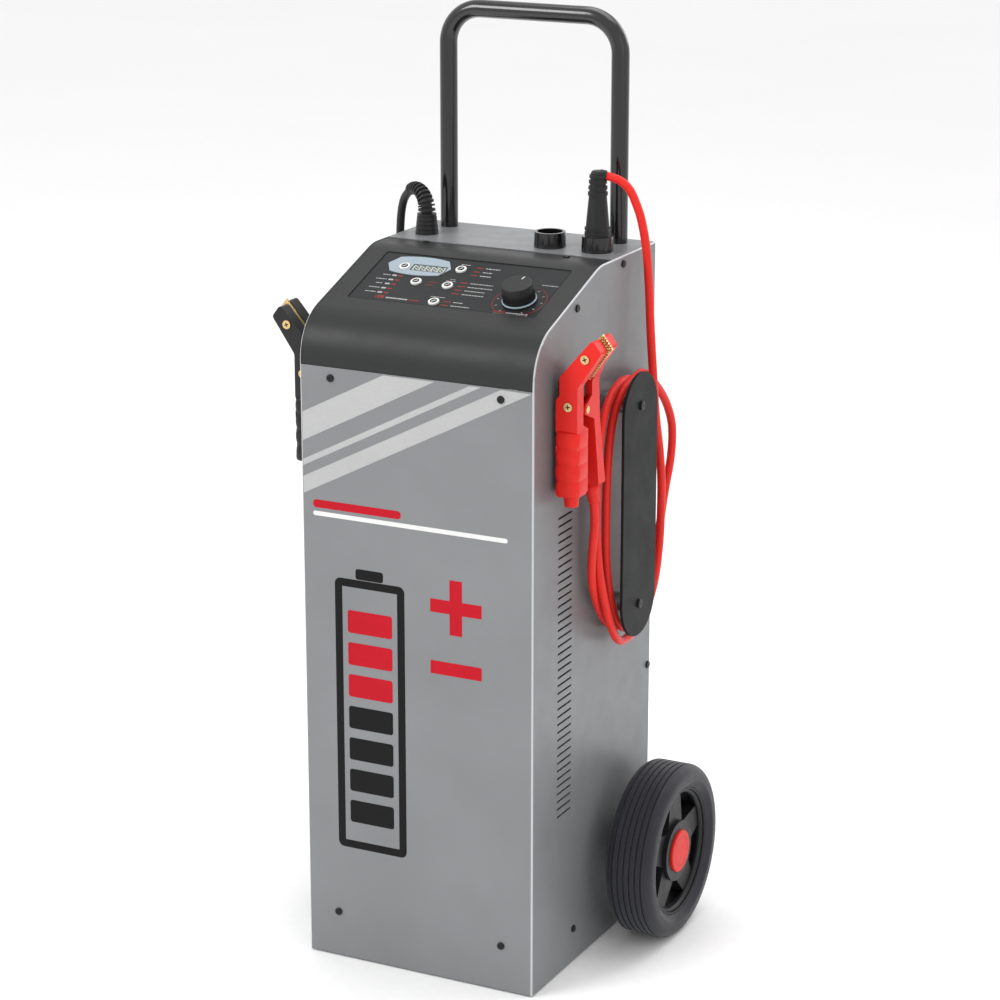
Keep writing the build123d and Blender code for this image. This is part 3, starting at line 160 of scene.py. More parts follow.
def finish(
    name,
    colour,
    rough,
    metallic,
    patch,
    grain,
    bump,
    wear=0.0,
    coat=0.0,
    sheen=0.0,
    stretch=(1, 1, 1),
    specular=0.3,
    fold_highlight=0.0,
):
    """Colour that drifts in patches and grain, roughness and bump from noise, lighter worn edges, and a
    painted highlight on rounded folds.
    """
    mat, tree, bsdf = shader(name)
    big = noise(tree, patch[0], 3.0)
    fine = noise(tree, grain[0], 2.0, stretch=stretch)
    base = ramp(tree, big, shade(colour, 1 - patch[1]), shade(colour, 1 + patch[1]))
    speck = ramp(tree, fine, shade((1, 1, 1), 1 - 2 * grain[1]), (1, 1, 1), 0.35, 0.65)
    mix = tree.nodes.new("ShaderNodeMix")
    mix.data_type = "RGBA"
    mix.blend_type = "MULTIPLY"
    mix.inputs["Factor"].default_value = 1.0
    tree.links.new(base, mix.inputs["A"])
    tree.links.new(speck, mix.inputs["B"])
    colour_out = mix.outputs["Result"]
    if wear:
        geometry = tree.nodes.new("ShaderNodeNewGeometry")
        edge = remap(tree, geometry.outputs["Pointiness"], 0.0, wear, 0.52, 0.62)
        worn = tree.nodes.new("ShaderNodeMix")
        worn.data_type = "RGBA"
        tree.links.new(edge, worn.inputs["Factor"])
        tree.links.new(colour_out, worn.inputs["A"])
        worn.inputs["B"].default_value = (*shade(colour, 1.8), 1)
        colour_out = worn.outputs["Result"]
    # Painted highlight: lighter colour on the rounded folds, found from the surface normal.
    if fold_highlight:
        colour_out = paint_fold_highlight(tree, colour_out, shade(colour, 1 + fold_highlight))
    tree.links.new(colour_out, bsdf.inputs["Base Color"])
    tree.links.new(remap(tree, noise(tree, patch[0] * 6, 5.0), *rough), bsdf.inputs["Roughness"])
    bsdf.inputs["Metallic"].default_value = metallic
    bsdf.inputs["Coat Weight"].default_value = coat
    bsdf.inputs["Coat Roughness"].default_value = 0.12
    bsdf.inputs["Sheen Weight"].default_value = sheen
    bsdf.inputs["Specular IOR Level"].default_value = specular
    if bump:
        node = tree.nodes.new("ShaderNodeBump")
        node.inputs["Strength"].default_value = bump[1]
        node.inputs["Distance"].default_value = bump[2]
        tree.links.new(noise(tree, bump[0], 3.0, stretch=stretch), node.inputs["Height"])
        tree.links.new(node.outputs["Normal"], bsdf.inputs["Normal"])
    return mat


# Each fine texture is (scale, strength) for colour grain and (scale, strength, metres) for bump.
FINE_GRAIN = (1500.0, 0.06)
FINE_BUMP = (1100.0, 0.20, 0.0002)
PRINT_BUMP = (2000.0, 0.05, 0.0001)

# The cabinet's silver paint carries a painted highlight along its rounded folds.
SILVER = finish(
    "silver_coat", (0.222, 0.228, 0.236), (0.34, 0.46), 0.25, (7.0, 0.06), (1500.0, 0.12),
    (700.0, 0.24, 0.0004),
    specular=0.4, fold_highlight=1.3,
)
CHARCOAL = finish(
    "charcoal_coat", (0.027, 0.0275, 0.028), (0.36, 0.46), 0.0, (5.0, 0.10), FINE_GRAIN,
    (800.0, 0.22, 0.0003),
    specular=0.17,
)
WRAP_COAT = finish(
    "wrap_coat", (0.0095, 0.0100, 0.0105), (0.42, 0.52), 0.0, (5.0, 0.10), FINE_GRAIN,
    (800.0, 0.22, 0.0003),
    specular=0.12,
)
FILM = finish(
    "panel_film", (0.017, 0.018, 0.019), (0.36, 0.44), 0.0, (9.0, 0.06), FINE_GRAIN, (1600.0, 0.15, 0.0002),
    specular=0.15,
)
BEZEL = finish("bezel_film", (0.28, 0.34, 0.39), (0.30, 0.38), 0.0, (20.0, 0.05), FINE_GRAIN, PRINT_BUMP)
GLOSS_BLACK = finish(
    "handle_enamel", (0.006, 0.006, 0.007), (0.14, 0.22), 0.0, (6.0, 0.12), (600.0, 0.05),
    (220.0, 0.10, 0.0004),
    coat=0.5, specular=0.4,
)
GLOSS_PLASTIC = finish(
    "gloss_plastic", (0.006, 0.006, 0.007), (0.16, 0.24), 0.0, (12.0, 0.10), FINE_GRAIN,
    (500.0, 0.08, 0.0002),
    coat=0.4, specular=0.4,
)
BLACK = finish(
    "black_plastic", (0.0095, 0.0095, 0.0105), (0.32, 0.42), 0.0, (12.0, 0.12), FINE_GRAIN, FINE_BUMP,
    wear=0.5,
)
BLACK_SOFT = finish(
    "black_rubber", (0.0115, 0.0115, 0.012), (0.46, 0.58), 0.0, (14.0, 0.14), (900.0, 0.10),
    (700.0, 0.28, 0.0003),
    sheen=0.06,
)
RED = finish(
    "red_plastic", (0.70, 0.016, 0.011), (0.32, 0.42), 0.0, (14.0, 0.06), (1500.0, 0.04),
    (1000.0, 0.22, 0.0002),
    coat=0.02, specular=0.2,
)
# Darker red for the painted shade of the wheel caps' groove.
GROOVE_SHADE_RED = finish("cap_groove_shade", (0.40, 0.010, 0.008), (0.4, 0.5), 0.0, (14.0, 0.06), FINE_GRAIN, PRINT_BUMP)
RED_CORD = finish(
    "red_cord", (0.74, 0.020, 0.013), (0.38, 0.48), 0.0, (18.0, 0.07), (700.0, 0.05), (420.0, 0.18, 0.0003),
    sheen=0.04, specular=0.25,
)
BLACK_CORD = finish(
    "black_cord", (0.009, 0.009, 0.0095), (0.36, 0.46), 0.0, (18.0, 0.12), (700.0, 0.06),
    (420.0, 0.18, 0.0003),
    sheen=0.05,
)
TYRE = finish(
    "tyre_rubber", (0.0190, 0.0195, 0.0260), (0.46, 0.60), 0.0, (11.0, 0.18), (600.0, 0.12),
    (500.0, 0.35, 0.0004),
    wear=0.6, sheen=0.10,
)
RIM = finish(
    "wheel_plastic", (0.0125, 0.0130, 0.0145), (0.38, 0.48), 0.0, (10.0, 0.10), (1200.0, 0.08),
    (650.0, 0.35, 0.0003),
    wear=0.6,
)
METAL_BUMP = (800.0, 0.12, 0.0002)
BRASS = finish("brass", (0.74, 0.52, 0.24), (0.24, 0.36), 1.0, (30.0, 0.12), (900.0, 0.08), METAL_BUMP)
BRONZE = finish(
    "bronze_wire", (0.45, 0.30, 0.14), (0.30, 0.42), 1.0, (40.0, 0.15), (900.0, 0.10), METAL_BUMP,
)
ZINC = finish(
    "zinc_plate", (0.56, 0.57, 0.58), (0.28, 0.42), 1.0, (25.0, 0.08), (900.0, 0.08), METAL_BUMP,
    stretch=(0.1, 1, 1),
)
SHEET = finish(
    "galvanised_sheet", (0.50, 0.51, 0.52), (0.35, 0.5), 1.0, (45.0, 0.12), (300.0, 0.08), METAL_BUMP,
)
ALLOY = finish(
    "bare_alloy", (0.66, 0.67, 0.68), (0.3, 0.42), 1.0, (15.0, 0.06), (900.0, 0.08), METAL_BUMP,
    stretch=(1, 1, 0.05),
)
COPPER = finish(
    "varnished_wire", (0.50, 0.20, 0.08), (0.25, 0.4), 0.9, (20.0, 0.1), (900.0, 0.2), (900.0, 0.6, 0.0006),
    stretch=(0.02, 0.02, 1),
)
IRON = finish(
    "core_iron", (0.10, 0.10, 0.11), (0.45, 0.6), 0.6, (20.0, 0.12), (900.0, 0.25), (900.0, 0.6, 0.0005),
    stretch=(0.02, 1, 0.02),
)
SCREW = finish(
    "black_screw", (0.010, 0.010, 0.011), (0.28, 0.4), 0.2, (60.0, 0.15), FINE_GRAIN, METAL_BUMP,
    wear=0.8,
)
BOARD = finish(
    "board_green", (0.02, 0.12, 0.05), (0.3, 0.4), 0.0, (60.0, 0.2), (800.0, 0.1), (500.0, 0.2, 0.0002),
)
INK_WHITE = finish(
    "white_ink", (0.72, 0.72, 0.71), (0.5, 0.6), 0.0, (60.0, 0.03), FINE_GRAIN, PRINT_BUMP, specular=0.2,
)
INK_BRIGHT = finish(
    "bright_red_ink", (0.46, 0.003, 0.013), (0.42, 0.5), 0.0, (9.0, 0.06), FINE_GRAIN, PRINT_BUMP,
    specular=0.15,
)
# Black for print, and also for the painted shade in screw recesses and round the panel overlay.
BLACK_INK_AND_SHADE = finish(
    "black_ink_and_painted_shade", (0.004, 0.004, 0.004), (0.42, 0.5), 0.0, (9.0, 0.1), FINE_GRAIN, PRINT_BUMP,
    specular=0.15,
)
INK_SILVER = finish(
    "silver_ink", (0.43, 0.435, 0.43), (0.38, 0.46), 0.1, (9.0, 0.05), (1500.0, 0.08), FINE_BUMP,
)
PANEL_WHITE = finish(
    "panel_white_ink", (0.34, 0.34, 0.34), (0.5, 0.6), 0.0, (60.0, 0.04), FINE_GRAIN, PRINT_BUMP,
)
PANEL_RED = finish(
    "panel_red_ink", (0.21, 0.013, 0.011), (0.5, 0.6), 0.0, (60.0, 0.05), FINE_GRAIN, PRINT_BUMP,
)
KEY = finish("key_plastic", (0.66, 0.66, 0.64), (0.36, 0.46), 0.0, (60.0, 0.03), (1500.0, 0.03), FINE_BUMP)
RING = finish("knob_ring", (0.28, 0.35, 0.40), (0.28, 0.36), 0.1, (40.0, 0.05), (1500.0, 0.04), FINE_BUMP)
LCD = finish(
    "display_face", (0.40, 0.43, 0.40), (0.20, 0.28), 0.0, (40.0, 0.08), FINE_GRAIN, None, coat=0.2,
)
SEGMENT = finish("display_segment", (0.010, 0.012, 0.011), (0.3, 0.4), 0.0, (60.0, 0.1), FINE_GRAIN, None)
FLOOR = finish(
    "studio_floor", (0.93, 0.93, 0.93), (0.55, 0.7), 0.0, (0.8, 0.01), (90.0, 0.01),
    (60.0, 0.02, 0.0005),
)

LOOKS = {
    SILVER: ["front_shell", "rear_panel", "top_plate"],
    SHEET: ["base_tray"],
    CHARCOAL: ["control_hood"],
    WRAP_COAT: ["wrap_plates"],
    FILM: ["control_overlay"],
    BEZEL: ["display_bezel"],
    LCD: ["display_window"],
    KEY: ["button_display", "button_start", "button_type", "button_rate", "button_engine"],
    BLACK: [
        "knob_cap", "gland_base", "axle_bearings", "clamp_pegs",
        "black_lever_front", "black_lever_rear", "fan_frame", "fan_rotor", "mains_gland",
    ],
    ZINC: ["knob_shaft", "potentiometer", "handle_brackets", "axle", "axle_clips", "wrap_posts"],
    BOARD: ["control_board"],
    GLOSS_PLASTIC: ["output_sockets", "plug_body"],
    GLOSS_BLACK: ["handle_tube"],
    BRASS: ["clamp_pins", "socket_contacts", "red_contact_front", "black_contact_front", "contacts_rear"],
    BRONZE: ["clamp_springs"],
    BLACK_SOFT: ["plug_sleeve", "gland_sleeve", "rubber_feet"],
    RIM: ["wheel_rim_left", "wheel_rim_right"],
    TYRE: ["tyre_left", "tyre_right"],
    RED: ["wheel_cap_left", "wheel_cap_right", "red_lever_front", "red_lever_rear"],
    RED_CORD: ["cord_red_lead", "cord_red_coil", "cord_red_tail"],
    BLACK_CORD: ["cord_black_lead", "cord_black_coil", "cord_black_tail"],
    IRON: ["transformer_core"],
    COPPER: ["transformer_windings"],
    ALLOY: ["heat_sink"],
    SCREW: ["black_screws"],
}
for look, names in LOOKS.items():
    for name in names:
        for place in NODES[name].material_slots:
            place.material = look

# ---- Cords, in millimetres, as control points of smooth curves ----
CORD_R = 4.75
RED_LEAD = [
    (112.37, 66.93, 871.0), (119.34, 70.42, 869.3), (129.0, 75.25, 864.0), (136.24, 78.87, 855.1),
    (141.33, 81.42, 842.3), (147.41, 84.46, 823.5), (153.05, 87.27, 788.0), (156.0, 88.75, 740.2),
    (157.34, 89.42, 704.2),
]
BLACK_LEAD = [
    (138.1, 83.3, 832.0), (146.6, 88.2, 825.1), (152.5, 91.6, 815.2), (156.8, 94.1, 797.9),
    (158.9, 95.3, 764.0), (159.6, 95.7, 716.0),
]
HANK = [
    (159.5, 90, 672), (162, 90, 640), (163, 95, 599), (163, 107, 562), (163, 114, 525), (163, 114, 485),
    (163, 111, 448), (163, 101, 410), (163, 80, 382), (162.5, 50, 371), (161.5, 18, 374), (161, -6, 394),
    (159, -17, 430), (157, -21, 470), (157, -21.5, 512), (157, -20, 556), (157, -15, 600), (157, 0, 633),
    (158.5, 22, 652), (160, 50, 657), (153, 78, 655), (151.5, 104, 642), (154, 135, 616),
    (157, 153, 585), (157, 157, 560), (156.5, 153, 532), (154.5, 144, 505), (152.5, 134, 460),
    (152.5, 122, 415), (153, 100, 380), (155, 70, 360), (157, 35, 356), (160, 5, 364), (163, -20, 390),
    (162, -36, 425), (159, -44, 462), (157, -46, 500), (157, -46, 535), (157, -45, 570), (156, -38, 606),
    (154, -20, 635), (152, 10, 653), (152, 40, 656), (152, 66, 645), (152, 84, 620), (152, 97, 590),
    (152, 104, 550), (152, 105, 505), (152, 103, 460), (152, 96, 420), (151.5, 78, 390),
    (151.5, 50, 374), (151.5, 20, 374), (151, -6, 388), (151, -30, 415), (153, -50, 450),
    (157, -56.5, 485), (160, -57, 512), (160, -58, 535), (158, -61.5, 563),
]


def smooth_curve(name, points, side):
    """A smooth open curve through the control points, mirrored where side is -1."""
    data = bpy.data.curves.new(name, "CURVE")
    data.dimensions = "3D"
    spline = data.splines.new("NURBS")
    spline.points.add(len(points) - 1)
    for place, (x, y, z) in zip(spline.points, points):
        place.co = (side * x * MM, y * MM, z * MM, 1)
    spline.order_u = 3
    spline.use_endpoint_u = True
    data.resolution_u = 8
    curve = bpy.data.objects.new(name, data)
    scene.collection.objects.link(curve)
    return curve


def add_cord(name, points, side, look):
    cord = smooth_curve(name, points, side)
    cord.data.bevel_depth = CORD_R * MM
    cord.data.bevel_resolution = 6
    cord.data.use_fill_caps = True
    cord.data.materials.append(look)
    return cord


def curve_length(points):
    """The length of the smooth curve through the control points."""
    probe = smooth_curve("measure", points, 1)
    mesh = bpy.data.meshes.new_from_object(probe)
    ends = [[mesh.vertices[i].co for i in edge.vertices] for edge in mesh.edges]
    bpy.data.objects.remove(probe)
    return sum((a - b).length for a, b in ends)


for colour, lead, side, look in (("red", RED_LEAD, 1, RED_CORD), ("black", BLACK_LEAD, -1, BLACK_CORD)):
    route = lead + HANK
    cord = add_cord(f"{colour}_cord", route, side, look)
    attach(cord, "charger")
    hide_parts(f"cord_{colour}_lead", f"cord_{colour}_coil", f"cord_{colour}_tail")
    curve_length(route)


# ---- Mesh helpers ----
def new_mesh(name, verts, faces, look, body, smooth=False):
    """A closed mesh with outward faces, riding on a CAD body."""
    mesh = bpy.data.meshes.new(name)
    mesh.from_pydata([tuple(v) for v in verts], [], faces)
    mesh.materials.append(look)
    shape = bmesh.new()
    shape.from_mesh(mesh)
    bmesh.ops.recalc_face_normals(shape, faces=shape.faces)
    shape.to_mesh(mesh)
    shape.free()
    for poly in mesh.polygons:
        poly.use_smooth = smooth
    piece = bpy.data.objects.new(name, mesh)
    scene.collection.objects.link(piece)
    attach(piece, body)


def round_points(x, y, w, h, r):
    """The outline of a rounded box, counter-clockwise."""
    points = []
    for cx, cy, first in ((1, 1, 0), (-1, 1, 90), (-1, -1, 180), (1, -1, 270)):
        for k in range(6):
            a = math.radians(first + 18 * k)
            points.append((x + cx * (w / 2 - r) + r * math.cos(a), y + cy * (h / 2 - r) + r * math.sin(a)))
    return points


class Plate:
    """Thin flat shapes printed on or laid on a plane, gathered into one mesh."""

    def __init__(self, origin, x_dir, y_dir, thickness):
        self.origin, self.x, self.y = Vector(origin), Vector(x_dir), Vector(y_dir)
        self.z = self.x.cross(self.y)
        self.thickness = thickness
        self.verts, self.faces = [], []

    def world(self, x, y, z=0.0):
        """The place in metres of a point on the plate, z above its plane."""
        return (self.origin + self.x * x + self.y * y + self.z * z) * MM

    def outline(self, points):
        """A filled outline, its points given counter-clockwise."""
        start, n = len(self.verts), len(points)
        self.verts += [self.world(x, y) for x, y in points]
        self.verts += [self.world(x, y, self.thickness) for x, y in points]
        self.faces.append([start + n + i for i in range(n)])
        self.faces.append([start + i for i in reversed(range(n))])
        for i in range(n):
            j = (i + 1) % n
            self.faces.append([start + i, start + j, start + n + j, start + n + i])

    def box(self, x, y, w, h, angle=0.0):
        c, s = math.cos(math.radians(angle)), math.sin(math.radians(angle))
        corners = [(-w / 2, -h / 2), (w / 2, -h / 2), (w / 2, h / 2), (-w / 2, h / 2)]
        self.outline([(x + c * a - s * b, y + s * a + c * b) for a, b in corners])

    def round_box(self, x, y, w, h, r):
        self.outline(round_points(x, y, w, h, r))

    def frame(self, x, y, w, h, r, width):
        """A rounded frame of the given width, w by h outside."""
        inside = round_points(x, y, w - 2 * width, h - 2 * width, max(r - width, 0.2))
        self.band(round_points(x, y, w, h, r), inside)

    def ring(self, x, y, outer, inner, first=0.0, last=360.0, steps=48):
        """A flat ring, or an arc of one, between two radii; angles are in degrees."""
        closed = last - first == 360.0
        count = steps if closed else steps + 1
        angles = [math.radians(first + (last - first) * k / steps) for k in range(count)]
        rows = [[(x + r * math.cos(a), y + r * math.sin(a)) for a in angles] for r in (outer, inner)]
        self.band(*rows, closed)

    def band(self, outer, inner, closed=True):
        """A flat band between two matching outlines, the outer one counter-clockwise."""
        start, n = len(self.verts), len(outer)
        for line in (outer, inner):
            for height in (0.0, self.thickness):
                self.verts += [self.world(x, y, height) for x, y in line]
        a, b, c, d = (start + n * k for k in range(4))
        for i in range(n if closed else n - 1):
            j = (i + 1) % n
            self.faces += [
                [a + i, a + j, b + j, b + i],
                [b + i, b + j, d + j, d + i],
                [d + i, d + j, c + j, c + i],
                [c + i, c + j, a + j, a + i],
            ]
        if not closed:
            self.faces += [[a, b, d, c], [a + n - 1, c + n - 1, d + n - 1, b + n - 1]]

    def disc(self, x, y, r, steps=40):
        angles = [2 * math.pi * k / steps for k in range(steps)]
        self.outline([(x + r * math.cos(a), y + r * math.sin(a)) for a in angles])

    def plus(self, x, y, size, width):
        """A plus sign as one outline."""
        a, b = size / 2, width / 2
        quarter = [(a, -b), (a, b), (b, b)]
        points = []
        for k in range(4):
            c, d = (1, 0, -1, 0)[k], (0, 1, 0, -1)[k]
            points += [(x + c * px - d * py, y + d * px + c * py) for px, py in quarter]
        self.outline(points)

    def make(self, name, look, slot_name, body="charger"):
        new_mesh(name, self.verts, self.faces, look, body)


FRONT_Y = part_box("front_shell")[0][1] / MM


def front_plate():
    """A plate just clear of the cabinet's front."""
    return Plate((0, FRONT_Y - 0.03, 0), (1, 0, 0), (0, 0, 1), 0.12)


# Front graphics: plain diagonal bands, a battery sign, and plus and minus signs.
FLAT_X = 137.4  # the front is flat between its rounded edges
BAND_RISE = 0.515
BAND_TOP = 683.2
bands = front_plate()
for low, high in ((600.0, 632.0), (572.0, 579.0), (541.0, 560.0)):
    ends = []
    for z in (low, high):
        reach = min(FLAT_X, (BAND_TOP - z) / BAND_RISE - FLAT_X)
        ends.append((reach, z + (reach + FLAT_X) * BAND_RISE))
    bands.outline([(-FLAT_X, low), ends[0], ends[1], (-FLAT_X, high)])
bands.make("front_bands", INK_SILVER, "shell")

BATTERY_X = -57.5
CELL = (55, 26, 3)  # width, height and corner radius of a charge bar
CELL_Z, CELL_PITCH = 180, 37
SIGN_X, SIGN_L, SIGN_W = 48, 62, 15
battery = front_plate()
battery.frame(BATTERY_X, 293, 86, 315, 7, 9)
battery.round_box(BATTERY_X, 457.3, 34, 12, 3)
for k in range(4):
    battery.round_box(BATTERY_X, CELL_Z + CELL_PITCH * k, *CELL)
battery.make("battery_sign", BLACK_INK_AND_SHADE, "black_plastic")

level = front_plate()
for k in range(4, 7):
    level.round_box(BATTERY_X, CELL_Z + CELL_PITCH * k, *CELL)
level.plus(SIGN_X, 436, SIGN_L, SIGN_W)
level.round_box(SIGN_X, 366, SIGN_L, SIGN_W, 1)
level.make("charge_signs", INK_BRIGHT, "red_plastic")

strip = front_plate()
strip.round_box(-8, 520, 236, 5, 2.4)
strip.make("front_stripe_white", INK_WHITE, "button")
strip = front_plate()
strip.round_box(-72, 531, 108, 9, 4)
strip.make("front_stripe_red", INK_BRIGHT, "red_plastic")

# ---- Control panel: x runs across it and s up its slope ----
SLOPE = math.radians(19.7)
SLOPE_Z = 730.0  # height at which the slope would meet the front
INSET = 0.9  # how far the hood lies below the shell's rim
PANEL_ORIGIN = (0, FRONT_Y + INSET * math.sin(SLOPE), SLOPE_Z - INSET * math.cos(SLOPE))
UP_SLOPE = (0, math.cos(SLOPE), math.sin(SLOPE))
OUT = Vector((0, -math.sin(SLOPE), math.cos(SLOPE)))


def panel_plate(low, thickness=0.08):
    """A plate that lies low mm above the hood's slope."""
    return Plate(Vector(PANEL_ORIGIN) + OUT * low, (1, 0, 0), UP_SLOPE, thickness)


BUTTONS = {
    "display": (-77.6, 131.0), "start": (-11.2, 136.7), "type": (-50.0, 103.9),
    "rate": (-11.2, 102.8), "engine": (-11.2, 69.1),
}
KNOB = (81.5, 89.3)
for key, (x, s) in BUTTONS.items():
    face = panel_plate(1.38, 0.1)
    face.disc(x, s, 3.9)
    face.make(f"{key}_key_face", BLACK_INK_AND_SHADE, "black_plastic", f"{key}_key")
    glyph = panel_plate(1.42, 0.12)
    glyph.box(x, s, 4.4, 1.1, 35)
    glyph.outline([(x + 0.6, s + 2.0), (x + 1.0, s - 0.1), (x + 2.4, s + 1.9)])
    glyph.outline([(x - 0.6, s - 2.0), (x - 1.0, s + 0.1), (x - 2.4, s - 1.9)])
    glyph.make(f"{key}_key_mark", INK_WHITE, "button", f"{key}_key")

FILM_TOP = -0.6
white, red = panel_plate(FILM_TOP), panel_plate(FILM_TOP)


def legend(plate, x, s, w, h=2.2, gap=0.9, seed=0):
    """A row of short dashes that stands for a printed label."""
    at, k = x, seed
    while at < x + w - 1:
        part = (3.2, 2.2, 4.2, 2.8)[k % 4]
        part = min(part, x + w - at)
        plate.box(at + part / 2, s, part, h * 0.62)
        at += part + gap
        k += 1


for row, (lead_w, s) in enumerate(((9, 112.5), (13, 103.5), (9, 95.0), (13, 86.0), (13, 77.0))):
    legend(white, -86 - lead_w, s, lead_w, 2.2, 0.7, row)
    white.box(-81, s, 5.5, 2.8)
    red.box(-73.5, s, 6, 2.4)
legend(red, -82, 68.0, 8, 4.0, 0.6, 1)
red.box(-76, 68.5, 9, 5)
legend(white, -69, 68.0, 26, 3.6, 0.6, 2)
legend(red, -41, 68.0, 12, 3.4, 0.6, 3)
legend(red, -36.5, 107.0, 12, 1.7, 0.6, 1)
legend(red, -36.5, 101.0, 9, 1.7, 0.6, 2)
for s, w in ((144.0, 17), (136.0, 12), (128.5, 13)):
    red.box(8.5, s, 8, 1.7)
    legend(white, 15.5, s, w, 2.6, 0.7, int(w))
legend(white, -16, 147.5, 11, 1.8, 0.6, 2)
legend(white, -14, 116.0, 6, 1.6, 0.6, 1)
legend(white, -18, 112.5, 13, 1.6, 0.6, 2)
for s, w in ((112.0, 27), (104.5, 30), (97.0, 24), (89.5, 26)):
    red.box(4.5, s, 9, 1.7)
    legend(white, 12, s, w, 2.2, 0.7, int(w))
legend(white, -20, 79.5, 17, 1.7, 0.6, 1)
for s, w in ((72.5, 12), (65.5, 22)):
    red.box(3.0, s, 9, 1.7)
    legend(white, 10.5, s, w, 2.2, 0.7, int(w))
legend(white, 92, 124.0, 24, 1.9, 0.6, 3)
MARK_R, MARKS = 25.5, 11
for first, last in ((-66, 62), (118, 246)):
    red.ring(*KNOB, 30.0, 29.2, first, last, 36)
for k in range(MARKS):
    angle = -60 + 30 * k
    a = math.radians(angle)
    white.box(KNOB[0] + MARK_R * math.cos(a), KNOB[1] + MARK_R * math.sin(a), 2.6, 0.9, angle)
legend(red, 62, 65.0, 14, 4.4, 0.6, 0)
legend(white, 77, 64.4, 26, 2.8, 0.6, 1)
legend(white, 62, 61.4, 42, 1.6, 0.6, 2)
white.make("panel_print_white", PANEL_WHITE, "button")
red.make("panel_print_red", PANEL_RED, "red_plastic")
# A black band painted round the overlay's edge: painted shade of the gap and recess wall round the film.
recess_shade = panel_plate(FILM_TOP)
recess_shade.frame(0, 109.0, 225.0, 97.0, 2.6, 1.3)
recess_shade.make("panel_edge_shade", BLACK_INK_AND_SHADE, "black_plastic")

# Display: plain figures on its face, each of three level bars and four upright ones, and a black frame of
# painted shade round the window.
WINDOW = (-48.0, 131.2)
DIGITS, DIGIT_PITCH = 5, 7.4
BAR_W = 1.3
digits = panel_plate(0.02, 0.06)
for k in range(DIGITS):
    middle = WINDOW[0] + DIGIT_PITCH * (k - (DIGITS - 1) / 2)
    for ds in (3.8, 0, -3.8):
        digits.box(middle, WINDOW[1] + ds, 2.8, BAR_W)
    for dx in (-2.1, 2.1):
        for ds in (-1.9, 1.9):
            digits.box(middle + dx, WINDOW[1] + ds, BAR_W, 2.4)
# Painted shade: a black frame round the window's edge, where the bezel's inner wall shades it.
digits.frame(*WINDOW, 41.6, 12.6, 0.8, BAR_W)
digits.make("display_digits", SEGMENT, "black_plastic")

# Knob: pointer line, grip flutes and the pale ring at its foot.
pointer = panel_plate(20.96, 0.12)
pointer.box(KNOB[0] + 2.2, KNOB[1] + 12.0, 1.1, 5.6, -10)
pointer.make("knob_pointer", INK_WHITE, "button", "knob")


def revolved(name, profile, origin, axis, look, body, steps=72, flutes=0, depth=0.0):
    """A ring of revolution about axis: profile is (radius, height) in mm, closed."""
    z = Vector(axis).normalized()
    x = Vector((1, 0, 0)) if abs(z.x) < 0.9 else Vector((0, 1, 0))
    x = (x - z * x.dot(z)).normalized()
    y = z.cross(x)
    verts, faces = [], []
    n = len(profile)
    for k in range(steps):
        a = 2 * math.pi * k / steps
        dent = depth * 0.5 * (1 - math.cos(a * flutes)) if flutes else 0.0
        radial = x * math.cos(a) + y * math.sin(a)
        for r, h in profile:
            verts.append((Vector(origin) + radial * (r - dent) + z * h) * MM)
    for k in range(steps):
        for i in range(n):
            j = (i + 1) % n
            m = (k + 1) % steps
            faces.append([k * n + i, m * n + i, m * n + j, k * n + j])
    new_mesh(name, verts, faces, look, body, smooth=True)


knob_at = Vector(PANEL_ORIGIN) + Vector((1, 0, 0)) * KNOB[0] + Vector(UP_SLOPE) * KNOB[1]
revolved(
    "knob_ring", [(18.6, 0.6), (19.06, 1.0), (19.08, 2.0), (18.7, 2.66), (17.6, 2.7), (17.4, 1.4)],
    knob_at, OUT, RING, "knob",
)

KNOB_FLUTES = 44
revolved(
    "knob_grip", [(17.95, 3.2), (16.95, 19.3), (16.2, 19.3), (17.2, 3.2)],
    knob_at, OUT, BLACK, "knob",
    steps=KNOB_FLUTES * 6, flutes=KNOB_FLUTES, depth=0.55,
)

# ---- Wheels: a darker red ring painted round each red cap as its groove's shade, and a lip inside each rim ----
AXLE = (Vector(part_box("axle")[0]) + Vector(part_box("axle")[1])) / 2 / MM
CAP_FACE = 215.42  # from the middle of the machine
LIP_START = 204.0
for name, side in (("left", -1), ("right", 1)):
    outward = Vector((side, 0, 0))
    # Painted shade: a darker red ring where the cap's groove lies.
    groove_shade = Plate(AXLE + outward * CAP_FACE, (0, side, 0), (0, 0, 1), 0.05)
    groove_shade.ring(0, 0, 17.4, 16.5)
    groove_shade.make(f"wheel_cap_groove_shade_{name}", GROOVE_SHADE_RED, "red_plastic", f"wheel_{name}")
    revolved(
        f"wheel_lip_{name}",
        [(71.3, 0), (71.3, 7.5), (69.2, 7.5), (68.4, 6.4), (67.2, 5.6), (66.8, 4.2), (66.8, 0)],
        AXLE + outward * LIP_START, outward, RIM, f"wheel_{name}",
    )

# ---- Clamps: a ribbed sleeve on each front grip and a boot where the cord enters the rear one ----
SLEEVE_LOW, SLEEVE_HIGH, SLEEVE_RIB, SLEEVE_STEP = 563.4, 634.0, 17.6, 1.26
SLEEVE_AT = (158.0, -112.0)
SLEEVE_W, SLEEVE_D, SLEEVE_SWELL, SLEEVE_FLAT = 25.6, 27.4, 2.6, 13.8


